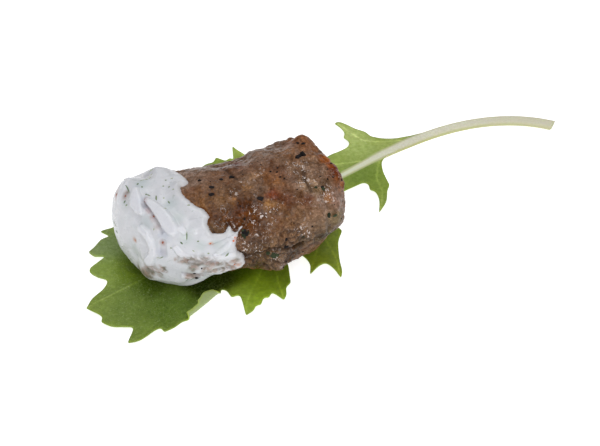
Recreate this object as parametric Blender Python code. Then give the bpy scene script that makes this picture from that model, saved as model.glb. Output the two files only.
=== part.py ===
"""Short lamb kofta, its left part spooned over with herb yoghurt, lying on one lobed salad leaf.

Metres, +Z up. X runs along the kofta, the yoghurt end towards -X. The table is z = 0, and the
origin is the middle of the whole object's footprint.
"""

import math

import bpy
import numpy as np
from mathutils import Vector, noise
from mathutils.bvhtree import BVHTree
from mathutils.geometry import delaunay_2d_cdt

MM = 0.001
GAP = 0.3 * MM                # clearance between pieces that touch

# Kofta: a blunt roll of minced meat with a squarish section. These sizes include the yoghurt.
KOFTA_CENTRE = (-32.1 * MM, -7.6 * MM)
KOFTA_LENGTH = 56.0 * MM
KOFTA_WIDTH = 32.2 * MM
KOFTA_HEIGHT = 28.5 * MM
KOFTA_BASE = 0.9 * MM         # height of its lowest point above the table
KOFTA_TAPER = 0.024           # share by which the section grows from the middle to the +X end
KOFTA_BOW = 4.1 * MM          # how far the two ends curve away towards +Y
END_SKEW = 0.20               # the ends are cut at a slant: shift towards -X for each unit of Y
END_LEAN = -0.18              # and for each unit of Z
SECTION_POWER = 2.7           # superellipse exponent round the roll
END_POWERS = (3.6, 4.4)       # and along it, at the yoghurt end and at the bare end
POWER_PLACES = (-0.6, 0.7)    # where each of them holds, as a share of the way to the ends
KOFTA_STEPS = (24, 14, 14)    # mesh cells along X, Y and Z
KOFTA_COLOUR = (0.19, 0.11, 0.07)

# Hand-pressed bulges and hollows: (X, Y, Z from the kofta's middle), radius and height, in mm.
BULGES = (
    ((-26, 7, 9), 6, 1.6), ((-18, 13, 11), 6, 0.7), ((-9, 14, 11), 6, -1.9), ((0, 12, 12), 5, -1.9),
    ((7, 13, 11), 6, -2.2), ((16, 13, 11), 6, -0.9), ((24, 10, 12), 3, 1.4), ((25, -11, -7), 4, -2.2),
    ((18, -13, -8), 6, -1.2), ((27, -11, 2), 4, 0.9), ((8, -15, -5), 4, 1.0), ((0, -15, -3), 3, 0.6),
    ((-2, -13, -12), 9, -3.6), ((-12, -13, -7), 4, -1.0), ((-27, -6, -4), 6, -1.0), ((-28, 6, -2), 5, 1.1),
    ((-25, -6, -8), 3, 1.2), ((-27, 13, -8), 6, -1.8),
)

# Relief of the mince: broad lumps, and crags that stand out round scattered centres.
LUMP_SIZE = 9.0 * MM
LUMP_HEIGHT = 0.7 * MM
CRAG_SIZE = 6.0 * MM
CRAG_HEIGHT = 0.7 * MM
CRAG_LEVEL = 0.45             # distance from a crag's centre, in crag sizes, where it adds nothing

# Leaf: its own axis runs from the tip of the blade towards the cut end of the stalk.
LEAF_TIP = (-73.3 * MM, -14.0 * MM)
LEAF_ANGLE = math.radians(16.9)
BLADE = 0.6 * MM              # thickness of the blade
LEAF_COLOUR = (0.13, 0.2, 0.04)
RIB_RISE = math.radians(1.0)  # heading of the midrib against the leaf's axis
STALK_START = 90.0 * MM
STALK_LENGTH = 62.0 * MM
STALK_TURN = math.radians(55.5)
STALK_TURN_POWER = 1.9        # the stalk bends more and more towards its end
# Width of the rib and how far it stands out below the blade, in mm, at these places along it.
RIB_PLACES = (0.0, 85.0, 108.0, 152.0)
RIB_WIDTHS = (0.5, 1.8, 3.3, 3.9)
RIB_DEPTHS = (0.2, 0.9, 1.3, 1.5)
RIB_SPREAD = 3.6 * MM         # the blade is carried by the rib this far to either side
CUT_SLANT = 0.15              # the stalk is cut at a slant

# Mesh of the leaf: the cell's size, and in cells the spacing along its margin and along the stalk,
# and how far the grid and the rows of the rib keep from the margin.
LEAF_CELL = 3.0 * MM
MARGIN_SPACING = 0.55
STALK_SPACING = 0.88
GRID_CLEARANCE = 0.45
ROW_CLEARANCE = 0.05
RIB_ROWS = (-0.9, -0.45, 0.0, 0.45, 0.9)   # rows of points along the rib, in half widths
NUDGE = 0.02 * MM             # step over which the blade's slope is measured
SAME_POINT = 1e-9

# Margin of the blade from the tip along the near side: (along the axis, across it, in mm), with
# a third value of 1 at the point of a tooth.
NEAR_MARGIN = (
    (0.0, 0.0, 1), (1.8, -4.5, 0), (0.7, -6.2, 1), (2.2, -9.1, 0), (4.8, -11.2, 0), (6.4, -13.0, 0),
    (2.8, -16.4, 1), (6.0, -17.4, 0), (10.8, -16.7, 0), (12.3, -17.0, 0), (12.3, -18.6, 1),
    (15.2, -18.8, 0), (17.6, -18.4, 0), (19.0, -18.5, 1), (20.1, -19.8, 1), (21.6, -19.2, 0),
    (22.9, -19.0, 0), (24.7, -18.6, 1), (25.0, -19.3, 1), (26.1, -19.1, 0), (27.7, -19.2, 0),
    (28.8, -18.7, 0), (30.1, -17.7, 0), (31.3, -16.4, 0), (32.4, -14.7, 0), (33.4, -15.8, 0),
    (33.2, -18.4, 1),
    (35.3, -19.1, 0), (34.5, -22.0, 0), (32.9, -25.9, 1), (35.4, -25.6, 0), (37.0, -24.7, 0),
    (38.3, -25.1, 1), (40.1, -23.7, 0), (41.4, -24.2, 1), (42.9, -23.3, 0), (43.6, -24.6, 0),
    (44.2, -27.1, 1), (45.9, -25.8, 0), (47.2, -23.8, 0), (49.2, -23.0, 1), (50.3, -20.9, 0),
    (51.8, -18.2, 0), (53.6, -14.4, 0), (56.2, -14.8, 0), (57.4, -17.6, 0), (57.0, -20.8, 0),
    (55.0, -23.6, 1), (58.8, -22.4, 0), (61.0, -22.8, 0), (61.6, -25.4, 0), (61.3, -29.1, 1),
    (62.9, -27.4, 0), (64.8, -23.6, 0), (68.2, -18.4, 0), (71.4, -15.7, 1), (71.3, -12.6, 0),
    (73.4, -7.6, 0), (77.0, -4.6, 0), (80.6, -3.5, 0), (84.1, -3.5, 0), (87.4, -3.7, 0),
    (88.3, -5.0, 0), (87.3, -7.0, 1), (88.1, -8.6, 0), (87.0, -11.7, 0), (83.8, -15.7, 1),
    (88.3, -13.3, 0), (91.2, -10.1, 0), (93.0, -8.8, 1), (94.0, -5.4, 0), (94.9, -3.0, 0),
    (96.4, -0.6, 0), (99.0, 0.6, 0),
)
# And from the stalk back to the tip along the far side.
FAR_MARGIN = (
    (113.0, 2.6, 0), (109.0, 4.0, 0), (104.6, 6.6, 0), (100.9, 10.4, 0), (100.4, 12.8, 0), (98.6, 15.6, 0),
    (96.6, 20.2, 0), (94.9, 20.8, 1), (95.3, 18.0, 0), (95.0, 15.8, 0), (93.6, 14.4, 1),
    (94.0, 12.2, 0), (92.4, 10.7, 0), (89.0, 10.5, 0), (85.4, 10.7, 0), (79.0, 9.4, 0),
    (73.4, 11.0, 0), (70.6, 15.6, 0), (67.4, 21.6, 0), (66.0, 26.0, 0), (65.2, 29.6, 1),
    (63.4, 26.6, 0), (62.5, 25.2, 0), (61.8, 26.1, 1), (60.3, 25.9, 0), (58.8, 28.5, 1),
    (57.1, 27.5, 0), (54.8, 27.9, 0), (51.2, 27.0, 0), (47.6, 24.4, 0), (45.6, 27.0, 1),
    (42.6, 21.6, 0), (39.0, 19.4, 0), (36.4, 22.4, 0), (34.6, 26.2, 1), (31.8, 21.2, 0),
    (28.6, 18.2, 0), (26.2, 19.6, 0), (23.6, 23.0, 1), (20.6, 21.6, 0), (18.4, 22.0, 0),
    (16.7, 22.2, 1), (17.8, 19.4, 0), (15.5, 19.4, 0), (12.6, 18.0, 0), (10.4, 17.3, 1),
    (11.2, 15.0, 0), (13.1, 13.4, 0), (11.0, 12.6, 0), (8.2, 11.9, 0), (7.3, 10.6, 0),
    (8.0, 8.0, 0), (9.4, 5.7, 0), (7.0, 3.5, 0), (2.6, 1.9, 0),
)

# A strip of the near margin is folded back over the blade, along this line in mm.
FOLD_LINE = ((18.9, -17.6), (32.3, -14.3))
FOLD_RADIUS = 0.8 * MM
FOLD_TURN = math.radians(155.0)
FOLD_RAMP = 0.12              # share of the fold's length over which it opens at each end
FOLD_SKEW = 25.0              # the strip's ends slant: share of its length per metre of its width

# The blade lifts off the table away from the kofta: (along, across, in mm), radius, height.
# What lifts also moves this much along and across for each unit of height.
LIFT_LEAN = (-0.55, -0.79)
LEAF_LIFTS = (
    ((0.0, 0.0), 9.0 * MM, 1.6 * MM), ((3.0, -17.0), 8.0 * MM, 2.2 * MM),
    ((8.0, 13.0), 6.0 * MM, 2.6 * MM), ((36.0, -26.0), 7.0 * MM, 2.4 * MM),
    ((47.0, -25.0), 5.0 * MM, 1.2 * MM), ((60.0, -29.0), 9.0 * MM, 2.6 * MM),
    ((65.0, 31.0), 8.0 * MM, 3.0 * MM), ((96.0, 21.0), 9.0 * MM, 2.8 * MM),
    ((84.0, -16.0), 7.0 * MM, 3.0 * MM), ((34.0, 27.0), 7.0 * MM, 2.6 * MM),
)

# Yoghurt: a thick coat over the -X end, laid round a centre inside the kofta. Its rim is given by
# pairs: how far round the kofta (0 the top, 90 the near side), and how far from the -X end.
COAT_CENTRE = (-12.0 * MM, 0.0, 0.0)
COAT_RIM = (
    (-155, 56), (-135, 78), (-115, 96), (-90, 101), (-60, 98), (-30, 95), (-15, 98), (-8, 92),
    (2, 89), (15, 94), (28, 103), (38, 106), (47, 104), (53, 110), (57, 121), (76, 121), (88, 126),
    (97, 126), (104, 123), (112, 118), (122, 110), (135, 97), (146, 77), (157, 61), (180, 50),
)
COAT_THICKNESS = 1.4 * MM
RIM_THICKNESS = 0.7 * MM
RIM_RISE = 6.0 * MM           # the coat is at full thickness this far inside its rim
COAT_RINGS = 16
COAT_SECTORS = 56
COAT_GAP = 0.4 * MM           # its clearance from the meat, wider because both are faceted
BARE_MARGIN = 1.0 * MM        # the meat starts to sink under the coat this far outside its rim
SMOOTH_MARGIN = 4.0 * MM      # and has lost its relief this far inside it
YOGHURT_COLOUR = (0.8, 0.81, 0.8)

# Strokes of the spoon stand out of the coat: points from the kofta's middle, half width, height,
# all in mm.
STROKES = (
    (((-23, 6, 12), (-24, 3, 11), (-23, 0, 10)), 1.6, 0.6),
    (((-21, 3, 12), (-20, -1, 11), (-18, -7, 10), (-16, -9, 10)), 1.8, 0.8),
    (((-24, -2, 7), (-22, -6, 5), (-23, -7, 2), (-24, -5, -3)), 1.8, 0.9),
    (((-18, -12, -8), (-11, -14, -8), (-7, -15, -6)), 2.6, 0.8),
)


def smoothstep(low, high, value):
    """0 below low, 1 above high, and a smooth ramp between them."""
    share = np.clip((value - low) / (high - low), 0.0, 1.0)
    return share * share * (3.0 - 2.0 * share)


def clear_scene():
    for obj in list(bpy.data.objects):
        bpy.data.objects.remove(obj)


def mesh_object(name, points, faces, material):
    mesh = bpy.data.meshes.new(name)
    mesh.from_pydata([tuple(p) for p in points], [], [tuple(f) for f in faces])
    mesh.materials.append(material)
    mesh.shade_smooth()
    obj = bpy.data.objects.new(name, mesh)
    bpy.context.scene.collection.objects.link(obj)
    return obj


def plain_material(name, colour, roughness):
    material = bpy.data.materials.new(name)
    material.use_nodes = True
    shader = material.node_tree.nodes["Principled BSDF"]
    shader.inputs["Base Color"].default_value = (*colour, 1.0)
    shader.inputs["Roughness"].default_value = roughness
    material.diffuse_color = (*colour, 1.0)
    return material


def normals_of(points, faces):
    """Unit vertex normals of a mesh of quads or of triangles."""
    faces = np.array(faces)
    corners = points[faces]
    across = np.cross(corners[:, 2] - corners[:, 0], corners[:, -1] - corners[:, 1])
    found = np.zeros_like(points)
    for side in range(faces.shape[1]):
        np.add.at(found, faces[:, side], across)
    return found / np.linalg.norm(found, axis=1)[:, None]


# Leaf

def rib_line(step):
    """Points down the middle of the midrib and the stalk, a step apart, and their headings."""
    length = STALK_START + STALK_LENGTH
    count = int(round(length / step))
    along = np.linspace(0.0, length, count + 1)
    past = np.clip((along - STALK_START) / STALK_LENGTH, 0.0, None)
    heading = RIB_RISE - STALK_TURN * past ** STALK_TURN_POWER
    middle = (heading[1:] + heading[:-1]) / 2
    moves = np.stack([np.cos(middle), np.sin(middle)], axis=1) * (length / count)
    points = np.concatenate([[(0.0, 0.0)], np.cumsum(moves, axis=0)])
    return along, points, heading


def along_rib(along, values):
    """A size of the rib at this distance along it."""
    return np.interp(along / MM, RIB_PLACES, values) * MM


def spline(points, step):
    """A smooth run through the points, with a point about every step."""
    points = np.array(points)
    ends = np.concatenate([[2 * points[0] - points[1]], points, [2 * points[-1] - points[-2]]])
    run = []
    for before, start, end, after in zip(ends, ends[1:], ends[2:], ends[3:]):
        count = max(1, int(round(np.linalg.norm(end - start) / step)))
        for share in np.arange(count)[:, None] / count:
            bend = (2 * before - 5 * start + 4 * end - after) * share ** 2
            twist = (-before + 3 * start - 3 * end + after) * share ** 3
            run.append(start + ((end - before) * share + bend + twist) / 2)
    return run + [points[-1]]


def toothed_run(margin, step):
    """The margin as a run of points, smooth except at the teeth."""
    run, piece = [], []
    for along, across, sharp in margin:
        piece.append((along * MM, across * MM))
        if sharp and len(piece) > 1:
            run += spline(piece, step)[:-1]
            piece = piece[-1:]
    return run + (spline(piece, step) if len(piece) > 1 else piece)


def leaf_outline(step):
    """The whole leaf's outline, blade and stalk, in leaf coordinates."""
    along, points, heading = rib_line(step * STALK_SPACING)
    half = along_rib(along, RIB_WIDTHS) / 2
    side = np.stack([-np.sin(heading), np.cos(heading)], axis=1) * half[:, None]
    slant = np.stack([np.cos(heading[-1:]), np.sin(heading[-1:])], axis=1) * half[-1] * CUT_SLANT
    spacing = step * MARGIN_SPACING
    near = (points - side)[along > NEAR_MARGIN[-1][0] * MM + spacing]
    far = (points + side)[along > FAR_MARGIN[0][0] * MM + spacing]
    near[-1] -= slant[0]
    far[-1] += slant[0]
    blade = toothed_run(NEAR_MARGIN, spacing)
    back = toothed_run(FAR_MARGIN + ((0.0, 0.0, 1),), spacing)[:-1]
    return np.array(blade + list(near) + list(far[::-1]) + back)


def inside(outline, points):
    """Which of the points lie inside a closed outline."""
    found = np.zeros(len(points), bool)
    for start, end in zip(outline, np.roll(outline, -1, axis=0)):
        crosses = (start[1] > points[:, 1]) != (end[1] > points[:, 1])
        rise = end[1] - start[1] if end[1] != start[1] else 1.0
        reach = start[0] + (points[:, 1] - start[1]) * (end[0] - start[0]) / rise
        found ^= crosses & (points[:, 0] < reach)
    return found


def nearest(points, others):
    """Distance from each point to the closest of the others, and which one that is."""
    apart = np.linalg.norm(points[:, None, :] - others[None, :, :], axis=2)
    return apart.min(axis=1), apart.argmin(axis=1)


def leaf_net(step):
    """The flat leaf: points, triangles and the outline's order."""
    outline = leaf_outline(step)
    along, line, heading = rib_line(step)
    half = along_rib(along, RIB_WIDTHS) / 2
    side = np.stack([-np.sin(heading), np.cos(heading)], axis=1)
    rows = [line + side * half[:, None] * share for share in RIB_ROWS]
    ribs = np.concatenate([row[1:-1] for row in rows])
    low, high = outline.min(axis=0), outline.max(axis=0)
    grid = [
        (low[0] + step * (column + 0.5 * (row % 2)), low[1] + step * row * math.sqrt(0.75))
        for row in range(int((high[1] - low[1]) / (step * math.sqrt(0.75))) + 1)
        for column in range(int((high[0] - low[0]) / step) + 1)
    ]
    grid = np.array(grid)
    grid = grid[nearest(grid, ribs)[0] > step * MARGIN_SPACING]
    kept = [outline]
    for inner, clearance in ((ribs, ROW_CLEARANCE), (grid, GRID_CLEARANCE)):
        inner = inner[inside(outline, inner)]
        apart, _ = nearest(inner, outline)
        kept.append(inner[apart > clearance * step])
    flat = [Vector(p) for p in np.concatenate(kept)]
    ring = [(i, (i + 1) % len(outline)) for i in range(len(outline))]
    points, _, faces, *_ = delaunay_2d_cdt(flat, ring, [], 1, SAME_POINT)
    return np.array([tuple(p) for p in points]), faces, len(outline)


def rib_frame(points):
    """Distance along the rib and signed distance from it, for points in leaf coordinates."""
    along, line, heading = rib_line(1.0 * MM)
    _, which = nearest(points, line)
    way = np.stack([np.cos(heading[which]), np.sin(heading[which])], axis=1)
    apart = points - line[which]
    ahead = (apart * way).sum(axis=1)
    across = way[:, 0] * apart[:, 1] - way[:, 1] * apart[:, 0]
    return along[which] + ahead, across


def carried_height(points):
    """Height of the blade's middle where it lies on the table and its rib, in leaf coordinates."""
    along, across = rib_frame(points)
    return BLADE / 2 + along_rib(along, RIB_DEPTHS) * np.exp(-(across / RIB_SPREAD) ** 2)


def lifted(points):
    """How far the blade lifts off the table, for points in leaf coordinates."""
    lift = np.zeros(len(points))
    for place, radius, height in LEAF_LIFTS:
        apart = np.linalg.norm(points - np.array(place) * MM, axis=1)
        lift += height * np.exp(-(apart / radius) ** 2)
    return lift


def leaf_place(points):
    """Leaf coordinates to the world: the blade's middle surface, its margin strip folded over."""
    start, end = (np.array(place) * MM for place in FOLD_LINE)
    way = (end - start) / np.linalg.norm(end - start)
    out = np.array([way[1], -way[0]])
    past = np.clip((points - start) @ out, 0.0, None)
    share = ((points - start) @ way) / np.linalg.norm(end - start) + FOLD_SKEW * past
    past *= np.abs(share - 0.5) < 0.5
    turn = FOLD_TURN * smoothstep(0.0, FOLD_RAMP, share) * smoothstep(1.0, 1.0 - FOLD_RAMP, share)
    radius = FOLD_RADIUS * FOLD_TURN / np.maximum(turn, 1e-3)
    angle = np.minimum(past / radius, turn)
    straight = past - angle * radius
    shift = radius * np.sin(angle) + straight * np.cos(angle) - past
    rise = radius * (1 - np.cos(angle)) + straight * np.sin(angle)
    flat = points + out * shift[:, None]
    lift = lifted(flat)
    height = carried_height(flat) + lift + rise
    flat = flat + np.array(LIFT_LEAN) * lift[:, None]
    turn_x, turn_y = math.cos(LEAF_ANGLE), math.sin(LEAF_ANGLE)
    x = LEAF_TIP[0] + flat[:, 0] * turn_x - flat[:, 1] * turn_y
    y = LEAF_TIP[1] + flat[:, 0] * turn_y + flat[:, 1] * turn_x
    return np.stack([x, y, height], axis=1)


def leaf_solid(step):
    """The leaf as a closed solid: points and triangles."""
    flat, faces, rim = leaf_net(step)
    middle = leaf_place(flat)
    ahead = leaf_place(flat + (NUDGE, 0.0)) - leaf_place(flat - (NUDGE, 0.0))
    aside = leaf_place(flat + (0.0, NUDGE)) - leaf_place(flat - (0.0, NUDGE))
    normals = np.cross(ahead, aside)
    normals /= np.linalg.norm(normals, axis=1)[:, None]
    along, across = rib_frame(flat)
    half = along_rib(along, RIB_WIDTHS) / 2
    round_off = np.sqrt(np.clip(1.0 - (across / half) ** 2, 0.0, None))
    depth = BLADE / 2 + along_rib(along, RIB_DEPTHS) * round_off
    top = middle + normals * BLADE / 2
    bottom = middle - normals * depth[:, None]
    count = len(flat)
    walls = []
    for i in range(rim):
        after = (i + 1) % rim
        walls += [(i, after + count, after), (i, i + count, after + count)]
    under = [tuple(corner + count for corner in face[::-1]) for face in faces]
    return np.concatenate([top, bottom]), list(faces) + under + walls


def leaf_top(x, y):
    """Height of the leaf's upper face above the table, at places in the world."""
    turn_x, turn_y = math.cos(LEAF_ANGLE), math.sin(LEAF_ANGLE)
    ahead, aside = x - LEAF_TIP[0], y - LEAF_TIP[1]
    flat = np.stack([ahead * turn_x + aside * turn_y, aside * turn_x - ahead * turn_y], axis=1)
    return carried_height(flat) + lifted(flat) + BLADE / 2


# Kofta

def block_grid(steps):
    """Vertices on the surface of a cube from -1 to 1 and its quads, facing out."""
    index, quads = {}, []

    def corner(*cell):
        return index.setdefault(cell, len(index))

    for axis in range(3):
        across, up = (axis + 1) % 3, (axis + 2) % 3
        for side in (0, steps[axis]):
            for i in range(steps[across]):
                for j in range(steps[up]):
                    ring = []
                    for di, dj in ((0, 0), (1, 0), (1, 1), (0, 1)):
                        cell = [0, 0, 0]
                        cell[axis], cell[across], cell[up] = side, i + di, j + dj
                        ring.append(corner(*cell))
                    quads.append(ring if side else ring[::-1])
    cells = np.array(list(index), float)
    return cells / np.array(steps) * 2.0 - 1.0, quads


def kofta_form(cube):
    """The kofta's smooth form round its middle: points of the cube mapped to a bent, blunt roll."""
    spread = np.tan(cube * math.pi / 4)
    way = spread / np.linalg.norm(spread, axis=1)[:, None]
    power = np.interp(way[:, 0], POWER_PLACES, END_POWERS)
    section = (np.abs(way[:, 1:]) ** SECTION_POWER).sum(axis=1) ** (1.0 / SECTION_POWER)
    reach = (section ** power + np.abs(way[:, 0]) ** power) ** (-1.0 / power)
    unit = way * reach[:, None]
    grow = 1.0 + KOFTA_TAPER * unit[:, 0]
    y = unit[:, 1] * grow * KOFTA_WIDTH / 2
    z = unit[:, 2] * grow * KOFTA_HEIGHT / 2
    x = unit[:, 0] * KOFTA_LENGTH / 2 - END_SKEW * y - END_LEAN * z
    return np.stack([x, y + KOFTA_BOW * unit[:, 0] ** 2, z], axis=1)


def lumpiness(points):
    """How far the mince stands out at each point."""
    height = np.zeros(len(points))
    for number, point in enumerate(points):
        place = Vector(point)
        nearest_crag = noise.voronoi(place / CRAG_SIZE)[0][0]
        height[number] = LUMP_HEIGHT * noise.noise(place / LUMP_SIZE)
        height[number] += CRAG_HEIGHT * (CRAG_LEVEL - nearest_crag)
    return height


def bulging(points):
    """How far the hand-pressed bulges stand out at each point."""
    height = np.zeros(len(points))
    for place, radius, rise in BULGES:
        apart = np.linalg.norm(points - np.array(place) * MM, axis=1)
        height += rise * MM * np.exp(-(apart / (radius * MM)) ** 2)
    return height


def kofta_surface(steps):
    """Points and quads of the kofta at this mesh size, in place on the leaf."""
    cube, quads = block_grid(steps)
    form = kofta_form(cube)
    normals = normals_of(form, quads)
    under = coat_depth(form)
    height = bulging(form) + lumpiness(form) * (1.0 - smoothstep(0.0, SMOOTH_MARGIN, under))
    height -= (COAT_GAP + COAT_THICKNESS) * smoothstep(-BARE_MARGIN, RIM_RISE, under)
    points = form + normals * height[:, None] + kofta_middle()
    floor = leaf_top(points[:, 0], points[:, 1]) + GAP
    points[:, 2] = np.maximum(points[:, 2], floor)
    return points, quads


def kofta_middle():
    return np.array((*KOFTA_CENTRE, KOFTA_HEIGHT / 2 + KOFTA_BASE))


def make_kofta(points, quads):
    return mesh_object("kofta", points, quads, plain_material("kofta", KOFTA_COLOUR, 0.45))


def make_leaf():
    points, faces = leaf_solid(LEAF_CELL)
    return mesh_object("leaf", points, faces, plain_material("leaf", LEAF_COLOUR, 0.5))


# Yoghurt

def rim_reach(around):
    """How far the coat reaches from the -X end, at this angle round the kofta; all in radians."""
    angles, reaches = zip(*COAT_RIM)
    return np.radians(np.interp(np.degrees(around), angles, reaches, period=360.0))


def coat_depth(points):
    """How far inside the coat's rim each point lies, for points from the kofta's middle."""
    apart = points - np.array(COAT_CENTRE)
    reach = np.arctan2(np.hypot(apart[:, 1], apart[:, 2]), -apart[:, 0])
    around = np.arctan2(-apart[:, 1], apart[:, 2])
    return (rim_reach(around) - reach) * KOFTA_WIDTH / 2


def coat_net():
    """Directions from the coat's centre to its points, ring by ring, and the triangles between."""
    around = np.arange(COAT_SECTORS) * 2 * math.pi / COAT_SECTORS
    share = np.arange(1, COAT_RINGS + 1) / COAT_RINGS
    reach = share[:, None] * rim_reach(around)[None, :]
    out = np.sin(reach)
    ways = np.stack([-np.cos(reach), -out * np.sin(around), out * np.cos(around)], axis=2)
    triangles = []
    for sector in range(COAT_SECTORS):
        after = (sector + 1) % COAT_SECTORS
        triangles.append((0, 1 + after, 1 + sector))
        for ring in range(COAT_RINGS - 1):
            here, beyond = 1 + ring * COAT_SECTORS, 1 + (ring + 1) * COAT_SECTORS
            triangles.append((here + sector, here + after, beyond + after))
            triangles.append((here + sector, beyond + after, beyond + sector))
    return np.concatenate([[(-1.0, 0.0, 0.0)], ways.reshape(-1, 3)]), triangles


def distance_to_line(points, line):
    """Distance from each point to a line through several places."""
    found = np.full(len(points), np.inf)
    for start, end in zip(line, line[1:]):
        start, way = np.array(start, float), np.array(end, float) - np.array(start, float)
        share = np.clip(((points - start) @ way) / (way @ way), 0.0, 1.0)
        found = np.minimum(found, np.linalg.norm(points - start - share[:, None] * way, axis=1))
    return found


def stroke_height(points):
    """How far the spoon's strokes stand out, for points from the kofta's middle."""
    height = np.zeros(len(points))
    for line, half_width, rise in STROKES:
        apart = distance_to_line(points / MM, line)
        height += rise * MM * np.exp(-(apart / half_width) ** 2)
    return height


def make_yoghurt(kofta_points, kofta_quads):
    ways, triangles = coat_net()
    tree = BVHTree.FromPolygons([Vector(p) for p in kofta_points], kofta_quads)
    centre = Vector(kofta_middle() + COAT_CENTRE)
    base = np.array([tree.ray_cast(centre, Vector(way))[0] for way in ways])
    normals = normals_of(base, triangles)
    local = base - kofta_middle()
    full = smoothstep(0.0, RIM_RISE, coat_depth(local))
    thickness = RIM_THICKNESS + (COAT_THICKNESS - RIM_THICKNESS) * full + stroke_height(local)
    inner = base + normals * COAT_GAP
    outer = base + normals * (COAT_GAP + thickness)[:, None]
    count = len(base)
    faces = triangles + [tuple(corner + count for corner in face[::-1]) for face in triangles]
    last = count - COAT_SECTORS
    for sector in range(COAT_SECTORS):
        here, after = last + sector, last + (sector + 1) % COAT_SECTORS
        faces += [(here, after, after + count), (here, after + count, here + count)]
    points = np.concatenate([outer, inner])
    return mesh_object("yoghurt", points, faces, plain_material("yoghurt", YOGHURT_COLOUR, 0.3))


def main():
    clear_scene()
    make_leaf()
    points, quads = kofta_surface(KOFTA_STEPS)
    make_kofta(points, quads)
    make_yoghurt(points, quads)


main()
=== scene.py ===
"""Looks of a short lamb kofta with herb yoghurt on a lobed salad leaf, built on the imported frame.

Metres, +Z up. X runs along the kofta, the yoghurt end towards -X. The forms repeat the constants
and functions of the part's own source, at a finer mesh and with fine relief, flecks and colour.
"""

import math
import random

import bpy
import numpy as np
from mathutils import Matrix, Vector, noise
from mathutils.bvhtree import BVHTree
from mathutils.geometry import delaunay_2d_cdt
from mathutils.kdtree import KDTree


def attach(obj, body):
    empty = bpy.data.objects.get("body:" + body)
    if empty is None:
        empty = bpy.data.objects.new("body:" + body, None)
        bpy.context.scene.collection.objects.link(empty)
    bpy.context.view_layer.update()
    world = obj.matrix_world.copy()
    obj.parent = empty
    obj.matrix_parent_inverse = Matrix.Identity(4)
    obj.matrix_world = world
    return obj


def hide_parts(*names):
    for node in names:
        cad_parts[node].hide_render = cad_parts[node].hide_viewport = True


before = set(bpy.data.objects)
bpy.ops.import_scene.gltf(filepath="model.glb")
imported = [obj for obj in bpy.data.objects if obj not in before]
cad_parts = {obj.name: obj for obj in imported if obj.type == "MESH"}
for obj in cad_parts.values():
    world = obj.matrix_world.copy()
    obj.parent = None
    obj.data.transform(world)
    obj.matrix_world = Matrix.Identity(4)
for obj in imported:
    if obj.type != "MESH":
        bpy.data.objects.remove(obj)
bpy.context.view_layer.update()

MM = 0.001

# Kofta, as in the part's source. These sizes include the yoghurt.
KOFTA_CENTRE = (-32.1 * MM, -7.6 * MM)
KOFTA_LENGTH = 56.0 * MM
KOFTA_WIDTH = 32.2 * MM
KOFTA_HEIGHT = 28.5 * MM
KOFTA_BASE = 0.9 * MM
KOFTA_TAPER = 0.024
KOFTA_BOW = 4.1 * MM
END_SKEW = 0.20
END_LEAN = -0.18
SECTION_POWER = 2.7
END_POWERS = (3.6, 4.4)
POWER_PLACES = (-0.6, 0.7)
# Bulges: (x, y, z) from the kofta's middle, radius and height in mm.
BULGES = (
    (-26, 7, 9, 6, 1.6), (-18, 13, 11, 6, 0.7), (-9, 14, 11, 6, -1.9), (0, 12, 12, 5, -1.9),
    (7, 13, 11, 6, -2.2), (16, 13, 11, 6, -0.9), (24, 10, 12, 3, 1.4), (25, -11, -7, 4, -2.2),
    (18, -13, -8, 6, -1.2), (27, -11, 2, 4, 0.9), (8, -15, -5, 4, 1.0), (0, -15, -3, 3, 0.6),
    (-2, -13, -12, 9, -3.6), (-12, -13, -7, 4, -1.0), (-27, -6, -4, 6, -1.0), (-28, 6, -2, 5, 1.1),
    (-25, -6, -8, 3, 1.2), (-27, 13, -8, 6, -1.8),
)
LUMP_SIZE = 9.0 * MM
LUMP_HEIGHT = 0.7 * MM
CRAG_SIZE = 6.0 * MM
CRAG_HEIGHT = 0.7 * MM
CRAG_LEVEL = 0.45

# Leaf, as in the part's source, but with a thinner blade.
LEAF_TIP = (-73.3 * MM, -14.0 * MM)
LEAF_ANGLE = math.radians(16.9)
BLADE = 0.6 * MM
RIB_RISE = math.radians(1.0)
STALK_START = 90.0 * MM
STALK_LENGTH = 62.0 * MM
STALK_TURN = math.radians(55.5)
STALK_TURN_POWER = 1.9
RIB_PLACES = (0.0, 85.0, 108.0, 152.0)
RIB_WIDTHS = (0.5, 1.8, 3.3, 3.9)
RIB_DEPTHS = (0.2, 0.9, 1.3, 1.5)
RIB_SPREAD = 3.6 * MM
CUT_SLANT = 0.15
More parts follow.
